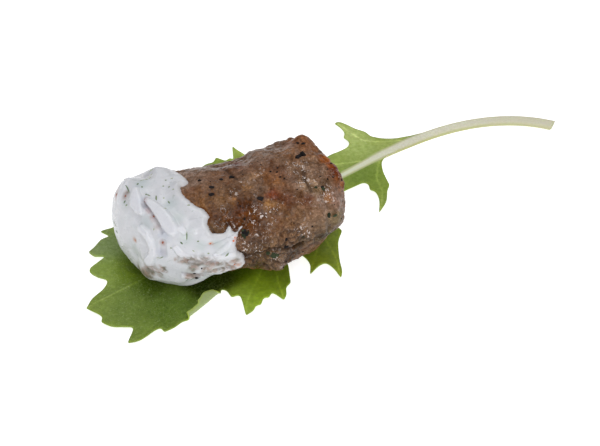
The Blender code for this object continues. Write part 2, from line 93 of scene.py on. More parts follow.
# Margins of the blade: (along, across) in mm from the tip. A third number marks a sharp point.
NEAR_MARGIN = (
    (0.0, 0.0, 1), (1.8, -4.5), (0.7, -6.2, 1), (2.2, -9.1), (4.8, -11.2), (6.4, -13.0), (2.8, -16.4, 1),
    (6.0, -17.4), (10.8, -16.7), (12.3, -17.0), (12.3, -18.6, 1), (15.2, -18.8), (17.6, -18.4),
    (19.0, -18.5, 1), (20.1, -19.8, 1), (21.6, -19.2), (22.9, -19.0), (24.7, -18.6, 1), (25.0, -19.3, 1),
    (26.1, -19.1), (27.7, -19.2), (28.8, -18.7), (30.1, -17.7), (31.3, -16.4), (32.4, -14.7),
    (33.4, -15.8), (33.2, -18.4, 1), (35.3, -19.1), (34.5, -22.0), (32.9, -25.9, 1), (35.4, -25.6),
    (37.0, -24.7), (38.3, -25.1, 1), (40.1, -23.7), (41.4, -24.2, 1), (42.9, -23.3), (43.6, -24.6),
    (44.2, -27.1, 1), (45.9, -25.8), (47.2, -23.8), (49.2, -23.0, 1), (50.3, -20.9), (51.8, -18.2),
    (53.6, -14.4), (56.2, -14.8), (57.4, -17.6), (57.0, -20.8), (55.0, -23.6, 1), (58.8, -22.4),
    (61.0, -22.8), (61.6, -25.4), (61.3, -29.1, 1), (62.9, -27.4), (64.8, -23.6), (68.2, -18.4),
    (71.4, -15.7, 1), (71.3, -12.6), (73.4, -7.6), (77.0, -4.6), (80.6, -3.5), (84.1, -3.5), (87.4, -3.7),
    (88.3, -5.0), (87.3, -7.0, 1), (88.1, -8.6), (87.0, -11.7), (83.8, -15.7, 1), (88.3, -13.3),
    (91.2, -10.1), (93.0, -8.8, 1), (94.0, -5.4), (94.9, -3.0), (96.4, -0.6), (99.0, 0.6),
)
FAR_MARGIN = (
    (113.0, 2.6), (109.0, 4.0), (104.6, 6.6), (100.9, 10.4), (100.4, 12.8), (98.6, 15.6), (96.6, 20.2),
    (94.9, 20.8, 1), (95.3, 18.0), (95.0, 15.8), (93.6, 14.4, 1), (94.0, 12.2), (92.4, 10.7),
    (89.0, 10.5), (85.4, 10.7), (79.0, 9.4), (73.4, 11.0), (70.6, 15.6), (67.4, 21.6), (66.0, 26.0),
    (65.2, 29.6, 1), (63.4, 26.6), (62.5, 25.2), (61.8, 26.1, 1), (60.3, 25.9), (58.8, 28.5, 1),
    (57.1, 27.5), (54.8, 27.9), (51.2, 27.0), (47.6, 24.4), (45.6, 27.0, 1), (42.6, 21.6), (39.0, 19.4),
    (36.4, 22.4), (34.6, 26.2, 1), (31.8, 21.2), (28.6, 18.2), (26.2, 19.6), (23.6, 23.0, 1),
    (20.6, 21.6), (18.4, 22.0), (16.7, 22.2, 1), (17.8, 19.4), (15.5, 19.4), (12.6, 18.0),
    (10.4, 17.3, 1), (11.2, 15.0), (13.1, 13.4), (11.0, 12.6), (8.2, 11.9), (7.3, 10.6), (8.0, 8.0),
    (9.4, 5.7), (7.0, 3.5), (2.6, 1.9),
)
FOLD_LINE = ((18.9, -17.6), (32.3, -14.3))
FOLD_RADIUS = 0.8 * MM
FOLD_TURN = math.radians(155.0)
FOLD_RAMP = 0.12
FOLD_SKEW = 25.0              # per metre of strip, towards the far end
LEAST_TURN = 1e-3
PRESSED = (0.75, 1.15)        # where the kofta stops pressing it flat, in half sizes of the kofta
LIFT_LEAN = (-0.55, -0.79)
# Where the blade lifts: (along, across), radius and height in mm.
LEAF_LIFTS = (
    (0.0, 0.0, 9.0, 1.6), (3.0, -17.0, 8.0, 2.2), (8.0, 13.0, 6.0, 2.6), (36.0, -26.0, 7.0, 2.4),
    (47.0, -25.0, 5.0, 1.2), (60.0, -29.0, 9.0, 2.6), (65.0, 31.0, 8.0, 3.0), (96.0, 21.0, 9.0, 2.8),
    (84.0, -16.0, 7.0, 3.0), (34.0, 27.0, 7.0, 2.6),
)

# Yoghurt, as in the part's source.
COAT_CENTRE = (-12.0 * MM, 0.0, 0.0)
COAT_THICKNESS = 1.4 * MM
RIM_THICKNESS = 0.7 * MM
RIM_RISE = 6.0 * MM
COAT_GAP = 0.4 * MM
BARE_MARGIN = 1.0 * MM
SMOOTH_MARGIN = 4.0 * MM
RELIEF_MARGIN = 1.3 * MM

# Fineness of the shown meshes.
KOFTA_STEPS = (176, 98, 98)
LEAF_CELL = 0.55 * MM
COAT_CELL = 1.0               # degrees
MARGIN_SPACING = 0.55
STALK_SPACING = 0.88
TIP_ROUNDINGS = 3
GRID_CLEARANCE = 0.45
ROW_CLEARANCE = 0.2
RIB_ROWS = (-0.9, -0.7, -0.45, -0.22, 0.0, 0.22, 0.45, 0.7, 0.9)
NUDGE = 0.02 * MM
SAME_POINT = 1e-9

# Relief of the mince: soft folds, lumps and grains of minced meat, and the creases between them.
# A layer of noise is the size of its features, a height, and an offset that sets it apart. A noise
# is the same without the height.
FOLD_LAYERS = ((4.5 * MM, 0.36 * MM, 13.0), (2.2 * MM, 0.26 * MM, 20.0), (1.1 * MM, 0.12 * MM, 27.0))
FOLD_WARP = 0.4               # share of the warp that bends the folds too
GRAIN_LAYERS = ((3.0 * MM, 0.50), (1.5 * MM, 0.34))     # size, height in mm
GRAIN_LEVEL = 0.5
WARP_SIZE = 3.2 * MM
WARP_REACH = 1.1 * MM
CREASE_WIDTH = 0.16
CREASE_DEPTH = 0.6            # share of the grains' height
PIT_NOISE = (1.9 * MM, 21.0)
PIT_DEPTH = 0.6 * MM
PIT_RANGE = (0.42, 0.62)
ROUGH_BASE = (0.22, 0.5)
ROUGH_NOISE = (6.0 * MM, 5.5)
ROUGH_RANGE = 0.3
LEAST_ROUGH = 0.06
RELIEF_START = -0.3 * MM
UNDERSIDE = 0.25              # share of the height that may meet the leaf
# Creases and holes that show: lines of (round the kofta, reach from its -X end) in degrees, half
# width and depth in mm.
CREVICES = (
    (((80, 83), (87, 91), (87, 99), (85, 112), (85, 120), (89, 129), (91, 136)), 0.7, 0.9),
    (((88, 131), (91, 135)), 0.9, 1.1),
    (((47, 63), (55, 66), (57, 72), (52, 77), (47, 78)), 0.45, 0.4),
    (((100, 104), (106, 109), (116, 112)), 0.6, 0.5),
    (((-20, 92), (-8, 96), (2, 99)), 0.6, 0.3),
    (((8, 145), (22, 143), (36, 142)), 0.8, 0.35),
)
# Rounded knobs of meat: (round, reach) in degrees, radius and height in mm.
KNOBS = (
    (50, 70, 2.6, 0.5), (53, 83, 1.6, 0.35), (93, 98, 2.6, 0.7), (111, 116, 3.0, 0.6), (63, 97, 2.2, 0.5),
    (63, 110, 2.2, 0.4), (77, 129, 2.4, 0.5), (87, 141, 2.2, 0.5), (54, 133, 2.2, 0.4),
    (59, 124, 2.2, 0.4), (61, 141, 2.0, 0.4), (72, 112, 2.4, 0.4), (38, 134, 1.5, 0.5),
    (41, 141, 1.5, 0.5), (13, 158, 1.6, 0.8), (25, 157, 1.3, 0.6), (35, 161, 1.3, 0.5),
    (-18, 98, 1.8, 0.6), (-38, 121, 1.8, 0.5), (-41, 145, 1.8, 0.6), (9, 124, 2.6, 0.4),
    (-4, 68, 3.0, 0.4), (28, 100, 2.4, 0.3), (15, 122, 2.0, 0.3), (58, 153, 2.6, 0.4),
    (-26, 144, 1.6, 0.4), (-20, 156, 1.4, 0.5), (2, 158, 1.4, 0.5), (-26, 110, 3.0, -0.5),
    (-37, 124, 2.5, 0.5), (22, 160, 2.0, 0.8), (-27, 152, 2.2, -0.7), (-40, 145, 1.6, 0.7),
    (100, 80, 2.5, 0.6), (-31, 153, 0.9, 0.6), (-22, 157, 0.7, 0.4), (-11, 158, 0.8, 0.5),
    (3, 160, 0.8, 0.4), (31, 161, 0.8, 0.4), (43, 158, 1.0, 0.4), (-53, 141, 1.0, 0.5),
)
# The soft edge round the far end and the groove beside it: heights in mm, (round, reach) in degrees.
EDGE_RISE = 0.45
GROOVE_RISE = -0.55
EDGE_WIDTH = 1.3 * MM
END_EDGE = (
    (-28, 141), (-2, 140), (15, 140), (26, 141), (37, 143), (44, 144), (52, 145), (64, 145), (83, 148),
)
END_GROOVE = (
    (-18, 144), (0, 142), (15, 143), (25, 144), (36, 145), (44, 147), (53, 148), (65, 149), (79, 150),
)
# Where the mince is rough: (round, reach) in degrees, radius in mm, share. Less than 0 is smooth.
ROUGH_PLACES = (
    (95, 110, 7, 0.9), (88, 128, 6, 1.0), (98, 142, 6, 0.5), (-2, 146, 4, 0.4), (20, 148, 3, 0.4),
    (25, 65, 6, -0.5), (38, 86, 6, -0.5), (0, 80, 5, -0.3), (8, 110, 6, -0.3), (-15, 110, 7, -0.4),
    (34, 138, 5, -0.4), (52, 151, 5, -0.3), (24, 132, 4, -0.3), (-20, 70, 6, -0.4),
)

# Tones of the meat as they show, partly its own colour and partly painted shade and sheen: darker
# in its recesses and under the far end, paler along that end's soft edge and where the top catches a
# sheen. (round, reach) in degrees, radius in mm, colour as sRGB bytes.
# The places were chosen one by one. 54 of the 87 colours weren't: another script worked them out
# from the photo's mean colour at each place and a render's.
MEAT = (108, 80, 61)
MEAT_SHEEN = 0.008            # what the wet skin's reflection adds to them, linear
MEAT_TONES_AND_SHADING = (
    (-22, 60, 4, (134, 113, 103)), (-14, 70, 3, (118, 93, 79)), (-8, 82, 3, (118, 84, 62)),
    (-27, 103, 1.8, (92, 52, 46)), (-24, 120, 3, (128, 104, 91)), (-14, 110, 4, (114, 84, 70)),
    (8, 85, 2.5, (110, 83, 64)), (27, 77, 2, (128, 96, 66)), (24, 68, 2.5, (108, 78, 54)),
    (13, 55, 2.5, (113, 80, 58)), (23, 58, 2.5, (129, 93, 59)), (32, 65, 2, (102, 70, 48)),
    (38, 68, 2, (80, 44, 20)), (38, 76, 2, (75, 47, 29)), (39, 84, 2.5, (93, 50, 16)),
    (40, 92, 3, (83, 42, 10)), (45, 89, 2.5, (77, 41, 11)), (43, 97, 2.5, (90, 52, 20)),
    (37, 104, 2, (80, 52, 30)), (39, 111, 2, (93, 71, 62)), (47, 80, 2, (70, 41, 20)),
    (50, 70, 2, (110, 85, 62)), (49, 91, 1.5, (78, 52, 33)), (34, 81, 2, (101, 75, 51)),
    (5, 111, 2, (121, 96, 78)), (7, 121, 2.5, (113, 80, 54)), (11, 126, 2.5, (129, 87, 58)),
    (6, 131, 1.8, (116, 77, 54)), (2, 130, 2, (108, 83, 71)), (20, 112, 3, (109, 85, 69)),
    (23, 100, 3, (102, 75, 57)), (8, 98, 3, (101, 74, 57)), (8, 138, 2.5, (113, 84, 70)),
    (26, 131, 2.5, (120, 84, 62)), (23, 137, 2.5, (123, 99, 86)), (34, 138, 3, (120, 92, 73)),
    (37, 130, 1.6, (91, 51, 31)), (43, 139, 1.4, (86, 44, 28)), (31, 122, 1.1, (116, 58, 32)),
    (53, 140, 3, (128, 100, 83)), (65, 142, 3, (129, 105, 86)), (56, 120, 3, (110, 78, 54)),
    (62, 108, 3, (98, 69, 50)), (67, 122, 3, (125, 96, 74)), (62, 132, 3, (120, 92, 70)),
    (70, 105, 2, (81, 62, 50)), (77, 113, 2.5, (128, 98, 70)), (83, 122, 1.8, (108, 89, 76)),
    (88, 130, 1.6, (82, 58, 42)), (87, 134, 1.5, (107, 92, 74)), (92, 96, 2.5, (86, 66, 50)),
    (95, 106, 2.5, (105, 83, 57)), (104, 116, 3, (110, 89, 74)), (101, 127, 2, (82, 60, 39)),
    (78, 148, 3, (100, 82, 64)), (68, 150, 2, (114, 98, 66)), (52, 155, 3.5, (130, 102, 90)),
    (-38, 146, 2.5, (130, 88, 62)), (-31, 148, 2.5, (122, 86, 64)), (-15, 144, 3, (132, 100, 79)),
    (0, 144, 3, (128, 103, 86)), (15, 149, 3, (127, 101, 85)), (-9, 157, 1.4, (154, 89, 40)),
    (2, 159, 1.3, (160, 92, 44)), (11, 159, 1.7, (110, 46, 20)), (21, 158, 1.5, (112, 56, 30)),
    (30, 158, 1.5, (124, 76, 40)), (36, 160, 1.5, (134, 80, 40)), (43, 156, 2, (130, 100, 84)),
    (8, 141, 1.6, (140, 117, 101)), (26, 142, 1.6, (150, 126, 105)), (37, 144, 1.5, (149, 128, 110)),
    (47, 146, 1.5, (127, 106, 97)), (60, 147, 1.6, (142, 115, 99)), (72, 147, 1.8, (124, 100, 82)),
    (33, 149, 1.6, (102, 80, 63)), (50, 152, 1.8, (140, 114, 104)), (60, 155, 2.5, (124, 96, 82)),
    (70, 154, 1.6, (92, 84, 50)), (104, 100, 1.8, (86, 74, 44)), (89, 148, 1.6, (68, 57, 26)),
    (40, 114, 1.1, (160, 116, 66)), (46, 148, 1.0, (152, 108, 66)), (5, 115, 1.0, (150, 114, 84)),
    (16, 104, 1.1, (136, 98, 60)), (19, 129, 0.9, (140, 96, 58)), (28, 86, 1.0, (140, 98, 56)),
)
# Where painted glints gather, near-white highlights painted into the meat's colour: the same, with a
# share in place of the colour.
PAINTED_GLINTS = (
    (46, 103, 2.6, 1.0), (49, 110, 3.0, 1.0), (74, 90, 2.0, 1.0), (43, 118, 2.4, 0.8), (3, 142, 2.8, 1.0),
    (22, 143, 2.8, 1.0), (43, 149, 2.4, 1.0), (46, 67, 0.8, 1.0), (51, 81, 0.8, 1.0), (7, 118, 1.6, 0.8),
    (58, 102, 2.4, 0.9), (77, 137, 1.8, 0.8), (83, 100, 2.4, 0.8), (69, 134, 1.8, 0.7),
    (42, 136, 1.6, 0.6), (66, 128, 1.6, 0.5), (79, 87, 1.6, 0.8), (93, 115, 2.2, 0.6),
    (-14, 84, 2.4, 0.3), (20, 90, 2.4, 0.5), (10, 104, 2.2, 0.4), (40, 122, 1.8, 0.6),
    (-10, 148, 2.4, 0.5), (0, 78, 2.0, 0.3), (15, 128, 2.4, 0.3), (-12, 128, 3.0, 0.3),
    (50, 138, 2.4, 0.4),
)
DEFAULT_WEIGHT = 0.02
TONE_DRIFT = 1.6 * MM
TONE_WANDER = 0.9 * MM
# Painted glints strewn thinly over the rest of the meat: a base share, a noise and the levels of it that
# ramp them in.
GLINT_PAINT_BASE = 0.32
GLINT_PAINT_NOISE = (5.0 * MM, 3.3)
GLINT_PAINT_LEVELS = (0.05, 0.35)

# Rim of the yoghurt: (round the kofta, reach from its -X end) in degrees.
RIM = (
    (-155, 56), (-135, 78), (-115, 96), (-90, 101), (-70, 99), (-41, 95), (-28, 97), (-18, 100),
    (-12, 99), (-9, 94), (-8, 90), (2, 89), (11, 92), (17, 95), (23, 99), (27, 103), (32, 106), (38, 107),
    (43, 104), (50, 104), (54, 107), (55, 112), (53, 115), (50, 117), (51, 119), (55, 120), (56, 122),
    (53, 123.5), (52, 125.5), (54, 125.5), (57, 123.5), (61, 123), (66, 122), (77, 122), (85, 126),
    (91, 127), (97, 126), (104, 123), (112, 118), (122, 110), (135, 97), (146, 77), (157, 61), (180, 50),
)
RIM_SPACING = 1.0             # degrees
RIM_WOBBLE = 0.7              # degrees
RIM_WOBBLES = ((6.0, 0.5, 1.0), (2.2, 4.5, 0.6))   # size in degrees, level in the noise, share
RIM_ROUND = 1.5 * MM          # width of the rounded lip
LIP_SUNK = 0.5 * MM           # its edge lies this far inside the meat
INNER_DEPTH = 0.6 * MM
SWELLS = ((5.0 * MM, 0.32 * MM, 1.3), (2.0 * MM, 0.10 * MM, 8.8))
WIDE_STROKE = 2.2 * MM        # from here on strokes are swells, soft and without the painted highlight
STROKE_POWER = 8
SWELL_POWER = 2

# Strokes of the spoon: lines of (round, reach in degrees, half width in mm), height in mm.
STROKES = (
    (((-26, 50, 0.9), (-20, 46, 1.6), (-14, 43, 1.8), (-5, 41, 1.4), (3, 41, 0.6)), 0.9),
    (((-7, 52, 0.7), (3, 55, 1.2), (18, 60, 1.6), (31, 64, 1.9), (40, 67, 1.8)), 0.95),
    (((25, 32, 1.2), (36, 36, 1.2), (49, 38, 1.0), (62, 39, 0.9), (78, 37, 1.1), (101, 32, 1.4)), 0.95),
    (((43, 77, 0.9), (46, 79, 0.8)), 0.4),
    (((-6, 47, 0.5), (5, 49, 0.6), (16, 50, 0.6), (29, 52, 0.6), (41, 54, 0.6)), -0.45),
    (((55, 53, 1.0), (74, 50, 1.1)), -0.3),
    (((65, 67, 0.9), (73, 71, 1.0), (78, 80, 0.9), (80, 91, 0.9), (81, 102, 0.9), (78, 116, 0.9)), 0.4),
    (((86, 80, 0.7), (88, 88, 0.8), (86, 96, 0.7), (89, 106, 0.7)), -0.4),
    (((104, 72, 0.6), (106, 79, 0.6), (109, 86, 0.7), (106, 95, 0.6)), -0.4),
    (((109, 72, 0.7), (113, 81, 0.8), (114, 92, 0.7), (110, 101, 0.6), (98, 117, 0.5)), 0.45),
    (((65, 114, 0.7), (71, 110, 0.8), (76, 105, 0.7)), 0.4),
    (((-45, 52, 1.0), (-40, 44, 1.2), (-42, 34, 1.0)), 0.35),
    (((100, 28, 4.0), (118, 50, 4.5)), 0.5),
    (((-45, 78, 2.2), (-43, 82, 2.2)), 0.9),
    (((-52, 63, 2.2), (-42, 65, 2.2)), -1.3),
    (((-50, 50, 2.2), (-42, 52, 2.2)), 0.4),
    (((-50, 93, 2.6), (-36, 96, 2.6)), -1.0),
)
# Where the yoghurt is thin and the meat shows through: (round, reach) in degrees, radius in mm.
THIN_PLACES = (
    (158, 39, 2.0), (149, 31, 1.6), (122, 36, 2.4), (134, 36, 2.2), (114, 41, 1.8), (104, 49, 1.2),
    (80, 68, 1.3), (83, 77, 2.0), (81, 83, 1.6), (87, 87, 2.6), (83, 95, 2.2), (88, 101, 2.4),
    (89, 108, 1.6), (94, 113, 1.4), (101, 98, 1.8), (104, 104, 1.4), (109, 77, 1.2), (109, 83, 1.6),
    (112, 89, 1.2), (109, 97, 1.2), (88, 118, 1.6), (98, 117, 1.4), (103, 111, 1.6), (95, 82, 1.6),
    (-33, 41, 1.2), (118, 48, 1.2),
)
THIN_WANDER = 0.9 * MM
THIN_DEPTH = 0.35 * MM
THIN_NOISE = (1.6 * MM, 4.4)
THIN_LEVEL = 0.6
BEND_SIZE = 1.2 * MM
STAIN_WANDER = 0.3 * MM
# Stains of spice and juice in it, and painted shade: the broad grey patches on its lower side and the
# blue-grey spots between the strokes. (round, reach) in degrees, radius in mm, colour.
YOGHURT = (206, 207, 212)
STAIN_WEIGHT = 0.6
STAINS_AND_SHADE = (
    (-9, 51, 0.55, (134, 84, 74)), (-6, 50, 0.5, (140, 92, 84)), (-4, 47, 0.5, (116, 118, 134)),
    (2, 48, 0.5, (170, 146, 150)), (7, 48, 0.5, (176, 150, 152)), (16, 49, 0.5, (150, 108, 100)),
    (22, 50, 0.6, (176, 160, 160)), (31, 51, 0.7, (168, 152, 150)), (-32, 41, 0.9, (158, 118, 108)),
    (-51, 39, 1.1, (156, 116, 104)), (44, 11, 0.55, (176, 140, 112)), (56, 52, 0.55, (156, 108, 92)),
    (73, 48, 1.1, (168, 172, 190)), (46, 57, 1.2, (176, 182, 196)), (-10, 48, 0.8, (178, 188, 204)),
    (-30, 58, 1.4, (172, 188, 188)), (11, 72, 1.6, (176, 190, 190)), (30, 76, 1.3, (178, 190, 188)),
    (-27, 34, 1.2, (182, 190, 190)), (19, 40, 1.4, (178, 188, 190)), (120, 8, 1.6, (182, 190, 190)),
    (54, 80, 1.4, (176, 188, 184)), (64, 92, 1.2, (182, 192, 190)), (64, 106, 1.2, (180, 190, 188)),
    (71, 110, 1.2, (178, 188, 184)), (100, 79, 1.4, (136, 142, 130)), (116, 95, 1.8, (140, 152, 140)),
    (134, 37, 1.0, (190, 172, 138)), (84, 87, 0.6, (120, 98, 84)), (81, 77, 0.6, (150, 116, 104)),
    (84, 100, 0.6, (150, 116, 108)), (111, 87, 1.0, (76, 70, 62)), (64, 102, 0.4, (206, 150, 112)),
    (116, 114, 1.4, (128, 146, 140)), (102, 68, 3.0, (164, 168, 172)), (110, 84, 3.0, (154, 162, 160)),
    (98, 108, 3.0, (160, 164, 166)), (115, 100, 3.0, (146, 158, 150)), (63, 118, 0.5, (214, 138, 108)),
    (93, 119, 0.5, (200, 140, 112)),
)

# Veins of the leaf: lines of (along, across) in mm from the tip.
VEINS = (
    ((36.0, 0.5), (26.2, -9.2), (18.7, -12.5), (9.4, -15.6), (4.0, -16.2)),
    ((22.5, 0.3), (13.0, -6.0), (5.2, -9.6), (2.0, -8.6)),
    ((27.0, 0.3), (18.0, 6.2), (12.5, 12.4), (10.8, 16.6)),
    ((12.0, 0.1), (9.0, 3.0), (8.0, 7.4)),
    ((60.0, 0.6), (50.0, -11.0), (44.1, -15.9), (36.9, -21.3), (33.4, -25.0)),
    ((49.4, -11.6), (47.6, -18.5), (46.5, -20.9), (44.6, -26.2)),
    ((27.5, -8.0), (25.0, -14.0), (24.2, -19.0)),
    ((76.0, 0.9), (69.6, -6.0), (66.2, -14.6), (64.2, -22.8), (61.6, -28.2)),
    ((66.6, -12.0), (62.0, -17.2), (56.0, -22.6)),
    ((100.5, 1.8), (95.6, -0.4), (91.9, -4.3), (89.4, -10.0), (85.0, -14.8)),
    ((106.4, 3.6), (99.6, 8.6), (97.3, 12.0), (95.6, 19.8)),
    ((94.0, 1.6), (89.7, 4.2), (84.5, 7.3), (79.5, 8.8)),
    ((78.0, 1.0), (71.0, 8.0), (67.4, 16.0), (65.4, 28.4)),
    ((62.0, 0.7), (53.0, 12.0), (48.0, 20.0), (45.7, 26.0)),
    ((50.0, 0.5), (40.0, 13.0), (36.4, 19.0), (34.8, 25.2)),
    ((40.0, 0.4), (30.0, 10.0), (25.4, 18.0), (23.8, 22.0)),
)
VEIN_WIDTH = 0.15 * MM
VEIN_DEPTH = 0.08 * MM
RIB_GROWN = (44.0 * MM, 76.0 * MM)   # where the thin midrib of the tip turns into a pale rib
PUCKER_WIDTH = 2.6 * MM
PUCKER_HEIGHT = 0.22 * MM
PUCKER_SIZE = 7.0 * MM
PUCKER_LEVEL = 0.5
RIPPLES = ((12.0 * MM, 0.35 * MM, 3.7), (2.4 * MM, 0.08 * MM, 9.1))
# Across the rib, in half widths of it: where the blade's relief begins, where the rib's pale colour
# ends, where that turns green, and how wide its groove is.
RIB_FOOT = (1.0, 2.2)
RIB_LIMIT = (0.9, 1.25)
RIB_EDGE = (0.55, 1.0)
GROOVE_WIDTH = 0.45
GROOVE_DEPTH = 0.16 * MM
GROOVE_GROWN = (1.0 * MM, 2.4 * MM)    # widths of rib over which it deepens
STALK_FALL = 0.30 * MM        # the stalk's sides fall by this
STALK_FALL_POWER = 6
STALK_ROUNDED = (98.0 * MM, 108.0 * MM)
FINE_VEINS = 0.35             # how much of the veins shows at the tip
FINE_VEINS_GROWN = (24.0 * MM, 50.0 * MM)
MARGIN_WIDTH = 0.35 * MM
FLAT_MARGIN = 0.35            # how pale it is where it isn't folded
TIP_REACH = (26.0 * MM, 44.0 * MM)
THIN_BLADE = 0.36 * MM
KOFTA_CLEARANCE = 0.06 * MM
# Tones of the leaf as they show, with painted shade and light in them: a dark strip of painted
# shadow under the kofta's near side, and the lobes in its shade painted lighter. (along, across) in mm
# from the tip, radius in mm, colour.
LEAF_GREEN = (127, 147, 62)
LEAF_SHEEN = 0.012
LEAF_TONES_AND_SHADING = (
    (9.6, -5.7, 6, (104, 123, 60)), (3, 1, 4, (119, 137, 64)), (9, 9, 4, (126, 145, 72)),
    (14.5, 17, 4, (121, 138, 89)), (16, -12, 5, (84, 106, 42)), (7, -14, 4, (112, 132, 60)),
    (17, 5, 4, (92, 112, 24)), (17, -3, 3, (60, 80, 20)), (21.5, -12.5, 3, (100, 124, 52)),
    (28, -11, 3, (40, 54, 18)), (32, -12, 3, (44, 56, 18)), (37, -12.5, 2.5, (44, 54, 16)),
    (40, -13, 2.5, (84, 104, 20)), (42, -18, 4, (142, 168, 44)), (37, -20, 3, (164, 192, 70)),
    (48, -21, 4, (124, 148, 42)), (45.5, -25, 3, (132, 156, 50)), (40.5, -23, 3, (158, 188, 56)),
    (60, -22, 4, (132, 150, 46)), (62, -28, 3, (142, 162, 56)), (67.5, -18, 3, (128, 146, 44)),
    (70, -14, 3, (124, 142, 48)), (95, 14, 4, (182, 196, 120)), (94, 8, 4, (170, 186, 108)),
    (88, 5, 4, (150, 168, 86)), (88.7, -0.5, 3, (112, 134, 58)), (89, -8, 4, (128, 148, 63)),
    (85, -14, 4, (138, 156, 76)), (62, 28, 5, (166, 184, 90)), (57, 26, 3, (134, 154, 64)),
    (104, 4, 4, (168, 182, 100)),
)

# Peppercorn crumbs on the meat: (round, reach) in degrees, size in mm.
PEPPER = (
    (-9, 64, 1.1), (7, 72, 1.3), (15, 70, 1.1), (-2, 95, 1.2), (-2, 84, 0.9), (32, 111, 1.6),
    (-15, 146, 1.9), (-32, 144, 0.8), (2, 129, 0.6), (-1, 134, 0.6), (15, 135, 0.6), (12, 133, 0.5),
    (21, 150, 0.5), (31, 137, 0.5), (34, 147, 0.7), (-1, 73, 0.5), (-8, 123, 0.4), (71, 141, 0.6),
    (74, 122, 0.8), (82, 122, 0.9), (26, 151, 0.5), (21, 87, 0.4), (37, 94, 0.4), (-30, 146, 0.8),
    (-16, 147, 1.5), (59, 90, 1.3), (57, 91, 0.8), (61, 92, 0.9), (90, 134, 0.6), (47, 93, 0.5),
    (28, 158, 0.6), (24, 154, 0.5), (12, 154, 0.5),
)
# Chopped herb in the meat: the same.
MEAT_HERBS = (
    (60, 89, 1.3), (57, 90, 1.0), (60, 93, 0.9), (63, 90, 0.8), (91, 114, 1.5), (92, 117, 1.1),
    (89, 111, 1.0), (89, 137, 1.0), (65, 149, 1.2), (36, 147, 1.0), (33, 145, 0.8), (80, 136, 0.7),
    (67, 151, 0.8),
)
# Shreds of dill in the yoghurt, from one (round, reach) to another, half width in mm, shade 0 to 1.
SHREDS = (
    ((-38, 63), (-40, 71), 0.16, 0.8), ((-33, 65), (-35, 68), 0.20, 0.8),
    ((-34, 58), (-35, 62), 0.18, 0.6), ((-35, 62), (-32, 64), 0.18, 0.7),
    ((-38, 48), (-30, 45), 0.22, 0.2), ((-16, 54), (-15, 55), 0.26, 0.2),
    ((-15, 55), (-11, 57), 0.18, 0.5), ((-8, 62), (-2, 60), 0.27, 0.4), ((5, 71), (9, 72), 0.24, 0.3),
    ((47, 82), (56, 80), 0.22, 0.3), ((84, 41), (84, 45), 0.16, 0.8), ((84, 45), (80, 49), 0.18, 0.5),
    ((120, 75), (112, 83), 0.20, 0.1), ((78, 111), (75, 114), 0.22, 0.4),
    ((-31, 54), (-31, 56), 0.30, 0.2), ((-26, 56), (-24, 56), 0.26, 0.4),
    ((-24, 77), (-24, 79), 0.26, 0.4), ((-24, 83), (-24, 86), 0.18, 0.9),
    ((-17, 72), (-17, 74), 0.24, 0.5), ((-13, 77), (-13, 79), 0.26, 0.4), ((-1, 67), (-1, 69), 0.20, 0.9),
    ((-31, 35), (-29, 38), 0.26, 0.1), ((-26, 34), (-23, 36), 0.24, 0.4), ((57, 73), (60, 75), 0.26, 0.1),
    ((64, 60), (64, 62), 0.24, 0.6), ((59, 90), (59, 92), 0.24, 0.5), ((74, 98), (74, 100), 0.26, 0.6),
    ((14, 65), (14, 67), 0.20, 0.9), ((-6, 80), (-5, 82), 0.18, 0.9), ((20, 89), (21, 92), 0.20, 0.8),
    ((-46, 70), (-44, 74), 0.20, 0.7), ((-48, 50), (-46, 52), 0.22, 0.6), ((96, 83), (97, 84), 0.26, 0.2),
    ((33, 47), (36, 46), 0.18, 0.9), ((68, 84), (70, 86), 0.18, 0.9), ((100, 104), (103, 105), 0.2, 0.3),
)
# Its spice: (round, reach) in degrees, size in mm, shade from rust brown at 0 to orange at 1.
SPICE = (
    (-9, 51, 0.7, 0.1), (-6, 50, 0.5, 0.1), (16, 50, 0.4, 0.2), (45, 11, 0.45, 0.5), (56, 52, 0.5, 0.3),
    (64, 102, 0.5, 0.9), (64, 118, 0.65, 1.0), (61, 119, 0.35, 1.0), (93, 119, 0.45, 0.8),
    (82, 78, 0.4, 0.1), (86, 100, 0.4, 0.1), (-32, 41, 0.6, 0.1), (-51, 39, 0.6, 0.1),
)
# Crumbs of pepper in it: (round, reach) in degrees, size in mm.
DARK_BITS = ((113, 87, 1.1), (-50, 79, 1.1), (104, 84, 0.6), (96, 92, 0.5))
# Flecks and tones strewn at random: how many, between which sides and reaches in degrees, and how
# large in mm.
HIDDEN_SIDES = (120.0, 300.0)
HIDDEN_REACHES = (95.0, 165.0)
STREWN = 26
PEPPER_SIZES = (0.4, 1.2)
HERB_SIZES = (0.7, 1.4)
SPECKS = 60
SPECK_SIDES = (-60.0, 115.0)
SPECK_REACHES = (90.0, 165.0)
SPECK_SIZES = (0.2, 0.45)
DILL_SIDES = (140.0, 300.0)
DILL_REACHES = (15.0, 80.0)
DILL_LENGTHS = (2.0, 7.0)      # degrees
DILL_HALF_WIDTHS = (0.16, 0.28)
HIDDEN_TONES = 60
TONE_REACHES = (60.0, 170.0)
TONE_SIZES = (1.2, 3.4)
# Shapes of a crumb and of a shred: how many sides, and their widths as shares of their size.
CRUMB_RINGS = 3
CRUMB_SIDES = 6
CRUMB_LENGTHS = (0.9, 1.4)
CRUMB_WIDTHS = (0.6, 0.9)
CRUMB_SCALE = 0.7
CRUMB_UNEVENNESS = (0.75, 1.25)
SHRED_PARTS = 5
SHRED_SIDES = 6
SHRED_ENDS = 0.45
SHRED_SWELL = 0.55
SHRED_FLATNESS = 0.5
FLECK_SEED = 7
NOISE_SEED = 7                # else the noise vectors differ from run to run
OUTSIDE = 60.0 * MM           # rays towards the kofta start this far out


